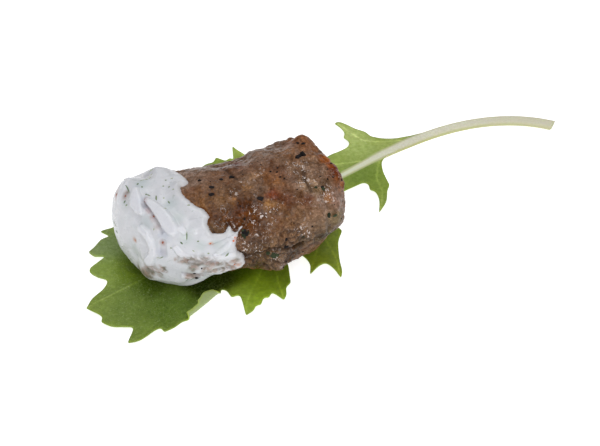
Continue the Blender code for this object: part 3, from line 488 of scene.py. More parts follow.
def colour(red, green, blue):
    """sRGB bytes as linear numbers."""
    shares = np.array((red, green, blue)) / 255.0
    return tuple(np.where(shares > 0.04045, ((shares + 0.055) / 1.055) ** 2.4, shares / 12.92))


def smoothstep(low, high, value):
    """0 below low, 1 above high, and a smooth ramp between them."""
    share = np.clip((value - low) / (high - low), 0.0, 1.0)
    return share * share * (3.0 - 2.0 * share)


def bell(distance, width):
    """1 at no distance, fading smoothly to 0 past this width."""
    return np.exp(-(distance / width) ** 2)


def patch(points, middle, radius):
    """1 at the middle of a round patch, fading to 0 past its radius in mm."""
    return bell(np.linalg.norm(points - middle, axis=1), radius * MM)


def risen(points, rises):
    """Height at each point of soft round rises: each a place, a radius and a height in mm."""
    height = np.zeros(len(points))
    for *place, radius, rise in rises:
        height += rise * MM * patch(points, np.array(place) * MM, radius)
    return height


def linked(name, data):
    """A new object in the scene."""
    obj = bpy.data.objects.new(name, data)
    bpy.context.scene.collection.objects.link(obj)
    return obj


def shown_mesh(name, points, faces, material, attributes=(), smooth=True):
    """A mesh that rides on the root, with vertex attributes of one number or of a colour."""
    mesh = bpy.data.meshes.new(name)
    mesh.from_pydata([tuple(p) for p in points], [], [tuple(f) for f in faces])
    mesh.materials.append(material)
    if smooth:
        mesh.shade_smooth()
    for label, values in attributes:
        values = np.asarray(values, float)
        if values.ndim == 1:
            made = mesh.attributes.new(label, "FLOAT", "POINT")
            made.data.foreach_set("value", values)
        else:
            made = mesh.attributes.new(label, "FLOAT_COLOR", "POINT")
            full = np.concatenate([values, np.ones((len(values), 1))], axis=1)
            made.data.foreach_set("color", full.ravel())
    obj = linked(name, mesh)
    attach(obj, "root")
    return obj


def normals_of(points, faces):
    """Unit vertex normals of a mesh of quads or of triangles."""
    faces = np.array(faces)
    corners = points[faces]
    across = np.cross(corners[:, 2] - corners[:, 0], corners[:, -1] - corners[:, 1])
    found = np.zeros_like(points)
    for side in range(faces.shape[1]):
        np.add.at(found, faces[:, side], across)
    return found / np.linalg.norm(found, axis=1)[:, None]


def noise_at(points, size, offset=0.0):
    """Smooth noise from -1 to 1 at each point, with features about this size."""
    shift = Vector((offset, offset, offset))
    return np.array([noise.noise(Vector(p) / size + shift) for p in points])


def layer(points, size, height, offset):
    """One layer of relief made of noise."""
    return height * noise_at(points, size, offset)


def drift_at(points, size):
    """Smooth random vectors at each point, with features about this size."""
    return np.array([noise.noise_vector(Vector(p) / size) for p in points])


def cells_at(points, size):
    """Distances to the nearest and the second nearest cell centre, in cell sizes."""
    found = np.array([noise.voronoi(Vector(p) / size)[0][:2] for p in points])
    return found[:, 0], found[:, 1]


def tree_of(points):
    tree = KDTree(len(points))
    for number, point in enumerate(points):
        tree.insert((*point, 0.0)[:3], number)
    tree.balance()
    return tree


def distance_to(points, others):
    """Distance from each point to the closest of the others."""
    tree = tree_of(others)
    return np.array([tree.find((*p, 0.0)[:3])[2] for p in points])


def closed_sheet(faces, rim, count, clockwise=False):
    """The faces of a sheet, of its copy underneath, and of the wall round its rim."""
    under = [tuple(corner + count for corner in face[::-1]) for face in faces]
    walls = []
    for i in range(rim):
        after = (i + 1) % rim
        if clockwise:
            walls += [(i, after, after + count), (i, after + count, i + count)]
        else:
            walls += [(i, after + count, after), (i, i + count, after + count)]
    return list(faces) + under + walls


# Leaf

def ahead_of(heading):
    return np.stack([np.cos(heading), np.sin(heading)], axis=1)


def left_of(heading):
    return np.stack([-np.sin(heading), np.cos(heading)], axis=1)


def rib_line(step):
    """Points down the middle of the midrib and the stalk, a step apart, and their headings."""
    length = STALK_START + STALK_LENGTH
    count = int(round(length / step))
    along = np.linspace(0.0, length, count + 1)
    past = np.clip((along - STALK_START) / STALK_LENGTH, 0.0, None)
    heading = RIB_RISE - STALK_TURN * past ** STALK_TURN_POWER
    middle = (heading[1:] + heading[:-1]) / 2
    moves = ahead_of(middle) * (length / count)
    points = np.concatenate([[(0.0, 0.0)], np.cumsum(moves, axis=0)])
    return along, points, heading


def along_rib(along, values):
    """A size of the rib at this distance along it."""
    return np.interp(along / MM, RIB_PLACES, values) * MM


def spline(points, step):
    """A smooth run through the points, with a point about every step."""
    points = np.array(points)
    ends = np.concatenate([[2 * points[0] - points[1]], points, [2 * points[-1] - points[-2]]])
    run = []
    for before, start, end, after in zip(ends, ends[1:], ends[2:], ends[3:]):
        count = max(1, int(round(np.linalg.norm(end - start) / step)))
        for share in np.arange(count)[:, None] / count:
            bend = (2 * before - 5 * start + 4 * end - after) * share ** 2
            twist = (-before + 3 * start - 3 * end + after) * share ** 3
            run.append(start + ((end - before) * share + bend + twist) / 2)
    return run + [points[-1]]


def toothed_run(margin, step):
    """The margin as a run of points, smooth except at the teeth."""
    run, piece = [], []
    for along, across, *sharp in margin:
        piece.append((along * MM, across * MM))
        if sharp and len(piece) > 1:
            run += spline(piece, step)[:-1]
            piece = piece[-1:]
    return run + (spline(piece, step) if len(piece) > 1 else piece)


def rounded(run):
    """The run with its points drawn towards their neighbours, so that its teeth end round."""
    run = np.array(run)
    for _ in range(TIP_ROUNDINGS):
        run[1:-1] = (run[:-2] + 2 * run[1:-1] + run[2:]) / 4
    return list(run)


def leaf_outline(step):
    """The whole leaf's outline, blade and stalk, in leaf coordinates."""
    along, points, heading = rib_line(step * STALK_SPACING)
    half = along_rib(along, RIB_WIDTHS) / 2
    side = left_of(heading) * half[:, None]
    slant = ahead_of(heading[-1:]) * half[-1] * CUT_SLANT
    spacing = step * MARGIN_SPACING
    near = (points - side)[along > NEAR_MARGIN[-1][0] * MM + spacing]
    far = (points + side)[along > FAR_MARGIN[0][0] * MM + spacing]
    near[-1] -= slant[0]
    far[-1] += slant[0]
    blade = rounded(toothed_run(NEAR_MARGIN, spacing))
    back = rounded(toothed_run(FAR_MARGIN + ((0.0, 0.0, 1),), spacing))[:-1]
    return np.array(blade + list(near) + list(far[::-1]) + back)


def inside(outline, points):
    """Which of the points lie inside a closed outline."""
    found = np.zeros(len(points), bool)
    for start, end in zip(outline, np.roll(outline, -1, axis=0)):
        crosses = (start[1] > points[:, 1]) != (end[1] > points[:, 1])
        rise = end[1] - start[1] if end[1] != start[1] else 1.0
        reach = start[0] + (points[:, 1] - start[1]) * (end[0] - start[0]) / rise
        found ^= crosses & (points[:, 0] < reach)
    return found


def net_in(outline, step, rows=()):
    """Points and triangles that fill a flat outline: a grid, and rows of points that are kept."""
    low, high = outline.min(axis=0), outline.max(axis=0)
    lane = step * math.sqrt(0.75)
    grid = np.array([
        (low[0] + step * (column + 0.5 * (row % 2)), low[1] + lane * row)
        for row in range(int((high[1] - low[1]) / lane) + 1)
        for column in range(int((high[0] - low[0]) / step) + 1)
    ])
    if len(rows):
        grid = grid[distance_to(grid, rows) > step * MARGIN_SPACING]
    kept = [outline]
    for inner, clearance in ((rows, ROW_CLEARANCE), (grid, GRID_CLEARANCE)):
        if len(inner):
            inner = inner[inside(outline, inner)]
            kept.append(inner[distance_to(inner, outline) > clearance * step])
    flat = [Vector(p) for p in np.concatenate(kept)]
    ring = [(i, (i + 1) % len(outline)) for i in range(len(outline))]
    points, _, faces, *_ = delaunay_2d_cdt(flat, ring, [], 1, SAME_POINT)
    return np.array([tuple(p) for p in points]), faces, len(outline)


def spread_rows(lines, step):
    """Points along lines, each line thinned where it comes near an earlier one."""
    kept = []
    for line in lines:
        line = np.array(line)
        if kept:
            line = line[distance_to(line, np.concatenate(kept)) > step * MARGIN_SPACING]
        if len(line):
            kept.append(line)
    return np.concatenate(kept)


def vein_lines(step):
    return [np.array(spline(np.array(vein) * MM, step)) for vein in VEINS]


def leaf_net(step):
    """The flat leaf, with rows of points along its rib and its veins."""
    along, line, heading = rib_line(step)
    half = along_rib(along, RIB_WIDTHS) / 2
    side = left_of(heading)
    wide = half > step
    rows = [line]
    for share in RIB_ROWS:
        if share:
            rows.append((line + side * half[:, None] * share)[wide][1:-1])
    rows += vein_lines(step)
    return net_in(leaf_outline(step), step, spread_rows(rows, step))


def rib_frame(points):
    """Distance along the rib and signed distance from it, for points in leaf coordinates."""
    along, line, heading = rib_line(1.0 * MM)
    tree = tree_of(line)
    which = np.array([tree.find((*p, 0.0))[1] for p in points])
    way = ahead_of(heading[which])
    apart = points - line[which]
    ahead = (apart * way).sum(axis=1)
    across = way[:, 0] * apart[:, 1] - way[:, 1] * apart[:, 0]
    return along[which] + ahead, across


def carried_height(along, across):
    """Height of the blade's upper face where it lies on the table and its rib."""
    return BLADE + along_rib(along, RIB_DEPTHS) * bell(across, RIB_SPREAD)


def to_world(flat, height):
    """Leaf coordinates and heights to the world."""
    turn_x, turn_y = math.cos(LEAF_ANGLE), math.sin(LEAF_ANGLE)
    x = LEAF_TIP[0] + flat[:, 0] * turn_x - flat[:, 1] * turn_y
    y = LEAF_TIP[1] + flat[:, 0] * turn_y + flat[:, 1] * turn_x
    return np.stack([x, y, height], axis=1)


def under_kofta(world):
    """1 where the kofta presses the leaf flat, 0 well away from it."""
    apart = (world[:, :2] - np.array(KOFTA_CENTRE)) / (KOFTA_LENGTH / 2, KOFTA_WIDTH / 2)
    return 1.0 - smoothstep(*PRESSED, np.linalg.norm(apart, axis=1))


def fold_reach(points):
    """How far past the fold line each point lies, its share along that line, and the way out."""
    start, end = (np.array(place) * MM for place in FOLD_LINE)
    way = (end - start) / np.linalg.norm(end - start)
    out = np.array([way[1], -way[0]])
    past = np.clip((points - start) @ out, 0.0, None)
    share = ((points - start) @ way) / np.linalg.norm(end - start) + FOLD_SKEW * past
    return past * (np.abs(share - 0.5) < 0.5), share, out


def leaf_surface(points, relief):
    """The blade's upper face in the world, its margin strip folded over, with relief added."""
    past, share, out = fold_reach(points)
    turn = FOLD_TURN * smoothstep(0.0, FOLD_RAMP, share) * smoothstep(1.0, 1.0 - FOLD_RAMP, share)
    radius = FOLD_RADIUS * FOLD_TURN / np.maximum(turn, LEAST_TURN)
    angle = np.minimum(past / radius, turn)
    straight = past - angle * radius
    shift = radius * np.sin(angle) + straight * np.cos(angle) - past
    rise = radius * (1 - np.cos(angle)) + straight * np.sin(angle)
    flat = points + out * shift[:, None]
    lift = risen(flat, LEAF_LIFTS)
    height = carried_height(*rib_frame(flat)) + lift + rise + relief
    return to_world(flat + np.array(LIFT_LEAN) * lift[:, None], height)


def blended(points, places, tones, plain, weight, sheen):
    """Colours at the points, blended from tones round their places, less a sheen."""
    shares = np.full(len(points), weight)
    mixed = weight * np.tile(colour(*plain), (len(points), 1))
    for (*_, radius, tone_and_shade), place in zip(tones, places):
        share = patch(points, place, radius) / radius
        shares += share
        mixed += share[:, None] * np.array(colour(*tone_and_shade))
    return np.maximum(mixed / shares[:, None] - sheen, 0.0)


def leaf_tones_and_shading(flat):
    """Colour of the leaf at each point in leaf coordinates, with painted shadow and painted light in it.
    """
    places = [np.array(tone_and_shade[:2]) * MM for tone_and_shade in LEAF_TONES_AND_SHADING]
    return blended(flat, places, LEAF_TONES_AND_SHADING, LEAF_GREEN, DEFAULT_WEIGHT, LEAF_SHEEN)


def leaf_relief(flat, along, across, half, vein):
    """Puckers, ripples, veins and the rib's groove, as heights of the upper face."""
    solid = np.concatenate([flat, np.zeros((len(flat), 1))], axis=1)
    rib = np.abs(across) / half
    blade = smoothstep(*RIB_FOOT, rib)
    puckered = 1.0 - bell(np.minimum(vein, np.abs(across)), PUCKER_WIDTH)
    relief = PUCKER_HEIGHT * puckered * (PUCKER_LEVEL + noise_at(solid, PUCKER_SIZE))
    relief += sum(layer(solid, *ripple) for ripple in RIPPLES)
    relief *= (1.0 - under_kofta(to_world(flat, np.zeros(len(flat))))) * blade
    relief -= VEIN_DEPTH * bell(vein, VEIN_WIDTH) * blade
    relief -= GROOVE_DEPTH * bell(rib, GROOVE_WIDTH) * smoothstep(*GROOVE_GROWN, half * 2)
    relief -= STALK_FALL * np.clip(rib, 0.0, 1.0) ** STALK_FALL_POWER * smoothstep(*STALK_ROUNDED, along)
    return relief


def leaf_marks(flat, along, across, half, vein, rim):
    """The vertex attributes of the leaf's upper face, for its material."""
    rib = np.abs(across) / half
    grown = smoothstep(*RIB_GROWN, along)
    stalk = (1.0 - smoothstep(*RIB_LIMIT, rib)) * grown
    shown = FINE_VEINS + (1.0 - FINE_VEINS) * smoothstep(*FINE_VEINS_GROWN, along)
    fine = np.maximum(bell(vein, VEIN_WIDTH) * shown, bell(across, VEIN_WIDTH) * (1.0 - grown))
    margin = bell(distance_to(flat, flat[:rim]), MARGIN_WIDTH)
    return (
        ("tone_and_shade", leaf_tones_and_shading(flat)),
        ("vein", fine),
        ("rib", stalk),
        ("rib_edge", smoothstep(*RIB_EDGE, rib) * stalk),
        ("margin", margin * np.where(fold_reach(flat)[0] > 0.0, 1.0, FLAT_MARGIN)),
        ("along", along / (STALK_START + STALK_LENGTH)),
        ("tip", 1.0 - smoothstep(*TIP_REACH, flat[:, 0])),
    )


def on_both(marks):
    """The attributes of a sheet's outer face, given to both its faces."""
    return tuple((name, np.concatenate([values, values])) for name, values in marks)


def make_leaf(material):
    flat, faces, rim = leaf_net(LEAF_CELL)
    along, across = rib_frame(flat)
    half = along_rib(along, RIB_WIDTHS) / 2
    vein = distance_to(flat, np.concatenate(vein_lines(LEAF_CELL / 2)))
    relief = leaf_relief(flat, along, across, half, vein)

    def surface(points):
        return leaf_surface(points, relief)

    top = surface(flat)
    ahead = surface(flat + (NUDGE, 0.0)) - surface(flat - (NUDGE, 0.0))
    aside = surface(flat + (0.0, NUDGE)) - surface(flat - (0.0, NUDGE))
    normals = np.cross(ahead, aside)
    normals /= np.linalg.norm(normals, axis=1)[:, None]
    round_off = np.sqrt(np.clip(1.0 - (across / half) ** 2, 0.0, None))
    depth = THIN_BLADE + (along_rib(along, RIB_DEPTHS) + BLADE - THIN_BLADE) * round_off
    bottom = top - normals * depth[:, None]
    bottom[:, 2] = np.maximum(bottom[:, 2], 0.0)
    points = np.concatenate([top, bottom])
    attributes = on_both(leaf_marks(flat, along, across, half, vein, rim))
    attributes += (("under", np.repeat((0.0, 1.0), len(flat))),)
    sheet = closed_sheet(faces, rim, len(flat))
    obj = shown_mesh("leaf_blade", points, sheet, material, attributes)
    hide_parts("leaf")
    return BVHTree.FromPolygons([Vector(p) for p in top], faces)


# Kofta

def block_grid(steps):
    """Vertices on the surface of a cube from -1 to 1 and its quads, facing out."""
    index, quads = {}, []

    def corner(*cell):
        return index.setdefault(cell, len(index))

    for axis in range(3):
        across, up = (axis + 1) % 3, (axis + 2) % 3
        for side in (0, steps[axis]):
            for i in range(steps[across]):
                for j in range(steps[up]):
                    ring = []
                    for di, dj in ((0, 0), (1, 0), (1, 1), (0, 1)):
                        cell = [0, 0, 0]
                        cell[axis], cell[across], cell[up] = side, i + di, j + dj
                        ring.append(corner(*cell))
                    quads.append(ring if side else ring[::-1])
    cells = np.array(list(index), float)
    return cells / np.array(steps) * 2.0 - 1.0, quads


def kofta_form(cube):
    """The kofta's smooth form round its middle: points of the cube mapped to a bent, blunt roll."""
    spread = np.tan(cube * math.pi / 4)
    way = spread / np.linalg.norm(spread, axis=1)[:, None]
    power = np.interp(way[:, 0], POWER_PLACES, END_POWERS)
    section = (np.abs(way[:, 1:]) ** SECTION_POWER).sum(axis=1) ** (1.0 / SECTION_POWER)
    reach = (section ** power + np.abs(way[:, 0]) ** power) ** (-1.0 / power)
    unit = way * reach[:, None]
    grow = 1.0 + KOFTA_TAPER * unit[:, 0]
    y = unit[:, 1] * grow * KOFTA_WIDTH / 2
    z = unit[:, 2] * grow * KOFTA_HEIGHT / 2
    x = unit[:, 0] * KOFTA_LENGTH / 2 - END_SKEW * y - END_LEAN * z
    return np.stack([x, y + KOFTA_BOW * unit[:, 0] ** 2, z], axis=1)


def kofta_middle():
    return np.array((*KOFTA_CENTRE, KOFTA_HEIGHT / 2 + KOFTA_BASE))


def lumpiness(points):
    """The broad lumps and crags of the solid."""
    nearest_crag, _ = cells_at(points, CRAG_SIZE)
    return LUMP_HEIGHT * noise_at(points, LUMP_SIZE) + CRAG_HEIGHT * (CRAG_LEVEL - nearest_crag)


def direction(around, reach):
    """A way out of a centre: round the kofta from the top, and away from the -X end; degrees."""
    around, reach = math.radians(around), math.radians(reach)
    out = math.sin(reach)
    return Vector((-math.cos(reach), -out * math.sin(around), out * math.cos(around)))


class Surface:
    """A closed mesh, asked for the place and the normal in a direction from a centre inside it."""

    def __init__(self, points, faces, centre):
        self.tree = BVHTree.FromPolygons([Vector(p) for p in points], faces)
        self.centre = Vector(centre)

    def towards(self, around, reach):
        way = direction(around, reach)
        place, normal, *_ = self.tree.ray_cast(self.centre + way * OUTSIDE, -way, OUTSIDE)
        return place, normal


def line_distance(points, line):
    """Distance from each point to a line of places, and the share of the way along it."""
    found = np.full(len(points), np.inf)
    share_along = np.zeros(len(points))
    for number, (start, end) in enumerate(zip(line, line[1:])):
        way = end - start
        share = np.clip(((points - start) @ way) / (way @ way), 0.0, 1.0)
        apart = np.linalg.norm(points - start - share[:, None] * way, axis=1)
        closer = apart < found
        found[closer] = apart[closer]
        share_along[closer] = number + share[closer]
    return found, share_along


def coat_depth(points):
    """How far inside the yoghurt's rim each point lies, for points from the kofta's middle."""
    apart = points - np.array(COAT_CENTRE)
    reach = np.degrees(np.arctan2(np.hypot(apart[:, 1], apart[:, 2]), -apart[:, 0]))
    around = np.arctan2(-apart[:, 1], apart[:, 2])
    flat = np.stack([np.sin(around), np.cos(around)], axis=1) * reach[:, None]
    rim = rim_outline()
    depth = np.radians(distance_to(flat, rim)) * KOFTA_WIDTH / 2
    return np.where(inside(rim, flat), depth, -depth)


def placed(surface, places):
    """Where a line of (round, reach) places lies on a surface."""
    return np.array([surface.towards(*place)[0] for place in places])


def spot(points, surface, place, radius):
    """The patch round a (round, reach) place on a surface."""
    return patch(points, placed(surface, [place])[0], radius)


def roughness_of(form, surface):
    """How rough the mince is at each point, from a least share to 1."""
    low, high = ROUGH_BASE
    rough = low + (high - low) * smoothstep(-ROUGH_RANGE, ROUGH_RANGE, noise_at(form, *ROUGH_NOISE))
    for *place, radius, share in ROUGH_PLACES:
        rough += share * spot(form, surface, place, radius)
    return np.clip(rough, LEAST_ROUGH, 1.0)


def mince_relief(form, surface):
    """Fine relief of the mince, and how deep in a crease each point lies, 0 to 1, which sets where shade
    is painted into its creases.
    """
    warp = drift_at(form, WARP_SIZE) * WARP_REACH
    rough = roughness_of(form, surface)
    height, crease_shade = np.zeros((2, len(form)))
    for size, rise in GRAIN_LAYERS:
        near, second = cells_at(form + warp, size)
        line = bell(second - near, CREASE_WIDTH)
        height += rise * MM * (GRAIN_LEVEL - near)
        height -= CREASE_DEPTH * rise * MM * line
        crease_shade = np.maximum(crease_shade, line * min(1.0, rise / GRAIN_LAYERS[0][1]))
    pit = smoothstep(*PIT_RANGE, noise_at(form, *PIT_NOISE))
    height -= PIT_DEPTH * pit
    height *= rough
    crease_shade = np.maximum(crease_shade * rough, pit * rough)
    for fold in FOLD_LAYERS:
        height += layer(form + FOLD_WARP * warp, *fold)
    height -= height.mean()
    for line, half_width, depth in CREVICES:
        apart, _ = line_distance(form, placed(surface, line))
        share = bell(apart, half_width * MM)
        height -= depth * MM * share
        crease_shade = np.maximum(crease_shade, share)
    for line, rise in ((END_EDGE, EDGE_RISE), (END_GROOVE, GROOVE_RISE)):
        apart, _ = line_distance(form, placed(surface, line))
        height += rise * MM * bell(apart, EDGE_WIDTH)
    for *place, radius, rise in KNOBS:
        height += rise * MM * spot(form, surface, place, radius)
    return height, crease_shade


def meat_shading_and_glints(form, surface):
    """Colour of the meat at each point, partly painted shade and sheen, and how many painted glints lie
    there, 0 to 1.
    """
    wander = drift_at(form, TONE_DRIFT) * TONE_WANDER
    maker = random.Random(FLECK_SEED)
    patches = MEAT_TONES_AND_SHADING + tuple(
        (around, reach, radius, maker.choice(MEAT_TONES_AND_SHADING)[-1])
        for around, reach, radius in strewn(maker, HIDDEN_TONES, HIDDEN_SIDES, TONE_REACHES, TONE_SIZES)
    )
    places = placed(surface, [tone_and_shade[:2] for tone_and_shade in patches])
    tones = blended(form + wander, places, patches, MEAT, DEFAULT_WEIGHT, MEAT_SHEEN)
    glint_paint = GLINT_PAINT_BASE * smoothstep(*GLINT_PAINT_LEVELS, noise_at(form, *GLINT_PAINT_NOISE))
    for *place, radius, share in PAINTED_GLINTS:
        glint_paint = np.maximum(glint_paint, share * spot(form, surface, place, radius))
    return tones, glint_paint


def make_kofta(material, leaf_top):
    cube, quads = block_grid(KOFTA_STEPS)
    form = kofta_form(cube)
    normals = normals_of(form, quads)
    depth = coat_depth(form)
    bare = 1.0 - smoothstep(0.0, SMOOTH_MARGIN, depth)
    surface = Surface(form, quads, (0.0, 0.0, 0.0))
    relief, crease_shade = mince_relief(form, surface)
    open_air = 1.0 - smoothstep(RELIEF_START, RELIEF_MARGIN, depth)
    tones, glint_paint = meat_shading_and_glints(form, surface)
    height = risen(form, BULGES) + lumpiness(form) * bare
    height -= (COAT_GAP + COAT_THICKNESS) * smoothstep(-BARE_MARGIN, RIM_RISE, depth)
    base = form + normals * height[:, None]
    points = base + normals * (relief * open_air)[:, None] + kofta_middle()
    for point in points:
        if point[2] < UNDERSIDE * KOFTA_HEIGHT:
            above = Vector((point[0], point[1], KOFTA_HEIGHT))
            below = leaf_top.ray_cast(above, Vector((0, 0, -1)))[0]
            if below is not None:
                point[2] = max(point[2], below.z + KOFTA_CLEARANCE)
    # Tones with painted shade and sheen in them, the mask of painted shade in the creases, and the share
    # of painted glints.
    attributes = (("tone_and_shade", tones), ("crease_shade", crease_shade * bare), ("glint_paint", glint_paint))
    obj = shown_mesh("meat", points, quads, material, attributes)
    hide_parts("kofta")
    return Surface(points, quads, kofta_middle()), Surface(base, quads, COAT_CENTRE)


# Yoghurt

def wobble(place):
    """How the rim strays from its course at a place on the flat map."""
    noises = (share * noise.noise_vector((*(place / size), level)) for size, level, share in RIM_WOBBLES)
    return RIM_WOBBLE * np.array(sum(noises, Vector()))[:2]


def rim_outline():
    """The yoghurt's rim on a flat map, where a direction lies at its reach from the middle."""
    closed = [(math.radians(around), reach) for around, reach in RIM]
    flat = [(reach * math.sin(around), reach * math.cos(around)) for around, reach in closed]
    return np.array([place + wobble(place) for place in spline(flat + flat[:1], RIM_SPACING)[:-1]])


def on_coat(base, places):
    """Places about where the yoghurt's outer face lies."""
    found = []
    for place in places:
        foot, normal = base.towards(*place)
        way = direction(*place)
        found.append(foot + way * ((COAT_GAP + COAT_THICKNESS) / normal.dot(way)))
    return np.array(found)


def stroke_height(points, base):
    """How far the spoon's strokes stand out, and where they are raised and where hollow, 0 to 1, for a
    painted highlight on the ridges and painted shade in the hollows.
    """
    height, raised_highlight, hollow_shade = np.zeros((3, len(points)))
    for line, rise in STROKES:
        line = np.array(line)
        apart, share = line_distance(points, on_coat(base, line[:, :2]))
        half_width = np.interp(share, np.arange(len(line)), line[:, 2]) * MM
        swelling = half_width.max() >= WIDE_STROKE
        across = np.exp(-(apart / half_width) ** (SWELL_POWER if swelling else STROKE_POWER))
        height += rise * MM * across
        if rise < 0:
            hollow_shade = np.maximum(hollow_shade, across)
        elif not swelling:
            raised_highlight = np.maximum(raised_highlight, across)
    return height, raised_highlight, hollow_shade


def make_yoghurt(material, base):
    flat, faces, rim = net_in(rim_outline(), COAT_CELL)
    reach = np.linalg.norm(flat, axis=1)
    around = np.degrees(np.arctan2(flat[:, 0], flat[:, 1]))
    found = np.array([base.towards(*way)[0] for way in zip(around, reach)])
    normals = normals_of(found, faces)
    outside = found + normals * (COAT_GAP + COAT_THICKNESS)
    bend = drift_at(found, BEND_SIZE)
    inward = distance_to(found, found[:rim])
    lip = np.sqrt(1.0 - (1.0 - np.clip(inward / RIM_ROUND, 0.0, 1.0)) ** 2)
    full = smoothstep(RIM_ROUND, RIM_RISE, inward)
    thin = np.zeros(len(found))
    for middle, (*_, radius) in zip(on_coat(base, [place[:2] for place in THIN_PLACES]), THIN_PLACES):
        thin = np.maximum(thin, patch(outside + bend * THIN_WANDER, middle, radius))
    swell = sum(layer(found, *each) for each in SWELLS)
    strokes, raised_highlight, hollow_shade = stroke_height(outside, base)
    offset = -LIP_SUNK + (LIP_SUNK + COAT_GAP + RIM_THICKNESS) * lip
    offset += ((COAT_THICKNESS - RIM_THICKNESS) + swell) * full + strokes * lip
    offset -= THIN_DEPTH * thin * (THIN_LEVEL + noise_at(found, *THIN_NOISE)) * lip
    # The stains carry painted shade too: grey on the lower side and blue-grey between the strokes.
    places = on_coat(base, [stain[:2] for stain in STAINS_AND_SHADE])
    stains_and_shade = blended(outside + bend * STAIN_WANDER, places, STAINS_AND_SHADE, YOGHURT, STAIN_WEIGHT, 0.0)
    outer = found + normals * offset[:, None]
    inner = found - normals * INNER_DEPTH
    points = np.concatenate([outer, inner]) + kofta_middle()
    attributes = on_both((
        ("tone_and_shade", stains_and_shade),
        ("thin", thin),
        ("raised_highlight", raised_highlight),
        ("hollow_shade", hollow_shade),
        ("edge", 1.0 - smoothstep(0.0, RIM_ROUND, inward)),
    ))
    sheet = closed_sheet(faces, rim, len(found), clockwise=True)
    obj = shown_mesh("yoghurt_coat", points, sheet, material, attributes)
    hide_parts("yoghurt")
    return Surface(points, sheet, kofta_middle() + np.array(COAT_CENTRE))


# Flecks

def crumb(maker, size, flatness):
    """An irregular closed crumb round the origin: points and triangles."""
    points, faces = [(0.0, 0.0, 1.0)], []
    for ring in range(1, CRUMB_RINGS + 1):
        tilt = math.pi * ring / (CRUMB_RINGS + 1)
        out = math.sin(tilt)
        for side in range(CRUMB_SIDES):
            turn = 2 * math.pi * (side + 0.5 * ring) / CRUMB_SIDES
            points.append((out * math.cos(turn), out * math.sin(turn), math.cos(tilt)))
    points.append((0.0, 0.0, -1.0))
    for side in range(CRUMB_SIDES):
        after = (side + 1) % CRUMB_SIDES
        faces.append((0, 1 + side, 1 + after))
        for ring in range(CRUMB_RINGS - 1):
            here, below = 1 + ring * CRUMB_SIDES, 1 + (ring + 1) * CRUMB_SIDES
            faces.append((here + side, below + side, here + after))
            faces.append((here + after, below + side, below + after))
        last = 1 + (CRUMB_RINGS - 1) * CRUMB_SIDES
        faces.append((last + side, len(points) - 1, last + after))
    stretch = np.array((maker.uniform(*CRUMB_LENGTHS), maker.uniform(*CRUMB_WIDTHS), flatness))
    points = np.array(points) * stretch * size * MM * CRUMB_SCALE
    points *= np.array([[maker.uniform(*CRUMB_UNEVENNESS)] for _ in points])
    return points, faces


def scatter(name, material, surface, places, flatness, sunk):
    """One mesh of many crumbs, each laid on the surface where its place says."""
    maker = random.Random(FLECK_SEED)
    points, faces, shades = [], [], []
    for around, reach, size, *shade in places:
        place, normal = surface.towards(around, reach)
        if place is None:
            continue
        shape, sides = crumb(maker, size, flatness)
        spin = maker.uniform(0.0, 2 * math.pi)
        turn = normal.to_track_quat("Z", "Y").to_matrix() @ Matrix.Rotation(spin, 3, "Z")
        start = sum(len(p) for p in points)
        points.append(shape @ np.array(turn).T + np.array(place - normal * sunk * size * MM))
        faces += [tuple(corner + start for corner in face) for face in sides]
        shades += (shade or [maker.random()]) * len(shape)
    attributes = (("shade", shades),)
    return shown_mesh(name, np.concatenate(points), faces, material, attributes, smooth=False)


def shreds(name, material, surface, lines, sunk):
    """One mesh of thin shreds, each laid along the surface from one place to another."""
    parts, sides = SHRED_PARTS, SHRED_SIDES
    points, faces, shades = [], [], []
    for start, end, half_width, shade in lines:
        start, end = np.array((start, end), float)
        found = [surface.towards(*(start + (end - start) * part / parts)) for part in range(parts + 1)]
        if any(place is None for place, _ in found):
            continue
        first = len(points)
        for part, (place, normal) in enumerate(found):
            way = found[min(part + 1, parts)][0] - found[max(part - 1, 0)][0]
            side = way.cross(normal).normalized()
            thick = half_width * MM * (SHRED_ENDS + SHRED_SWELL * math.sin(math.pi * part / parts))
            for step in range(sides):
                turn = 2 * math.pi * step / sides
                lift = SHRED_FLATNESS * thick * math.sin(turn) - sunk * half_width * MM
                points.append(place + side * thick * math.cos(turn) + normal * lift)
        for part in range(parts):
            for step in range(sides):
                after = (step + 1) % sides
                here, ahead = first + part * sides, first + (part + 1) * sides
                faces.append((here + step, here + after, ahead + after, ahead + step))
        faces.append(tuple(range(first + sides - 1, first - 1, -1)))
        faces.append(tuple(range(first + parts * sides, first + parts * sides + sides)))
        shades += [shade] * (len(points) - first)
    return shown_mesh(name, points, faces, material, (("shade", shades),))


def strewn(maker, count, sides, reaches, sizes):
    """Random places for flecks on the sides that don't show."""
    return tuple(
        (maker.uniform(*sides), maker.uniform(*reaches), maker.uniform(*sizes)) for _ in range(count)
    )


def strewn_shreds(maker, count, sides, reaches):
    """The same for shreds."""
    lines = []
    for around, reach, size in strewn(maker, count, sides, reaches, DILL_LENGTHS):
        heading = maker.uniform(0.0, math.pi)
        end = (around + size * math.cos(heading), reach + size * math.sin(heading))
        lines.append(((around, reach), end, maker.uniform(*DILL_HALF_WIDTHS), maker.random()))
    return tuple(lines)


# Materials

WHITE = (1.0, 1.0, 1.0)
BEND_SHARE = 0.8              # size of the noise that bends cells, as a share of theirs


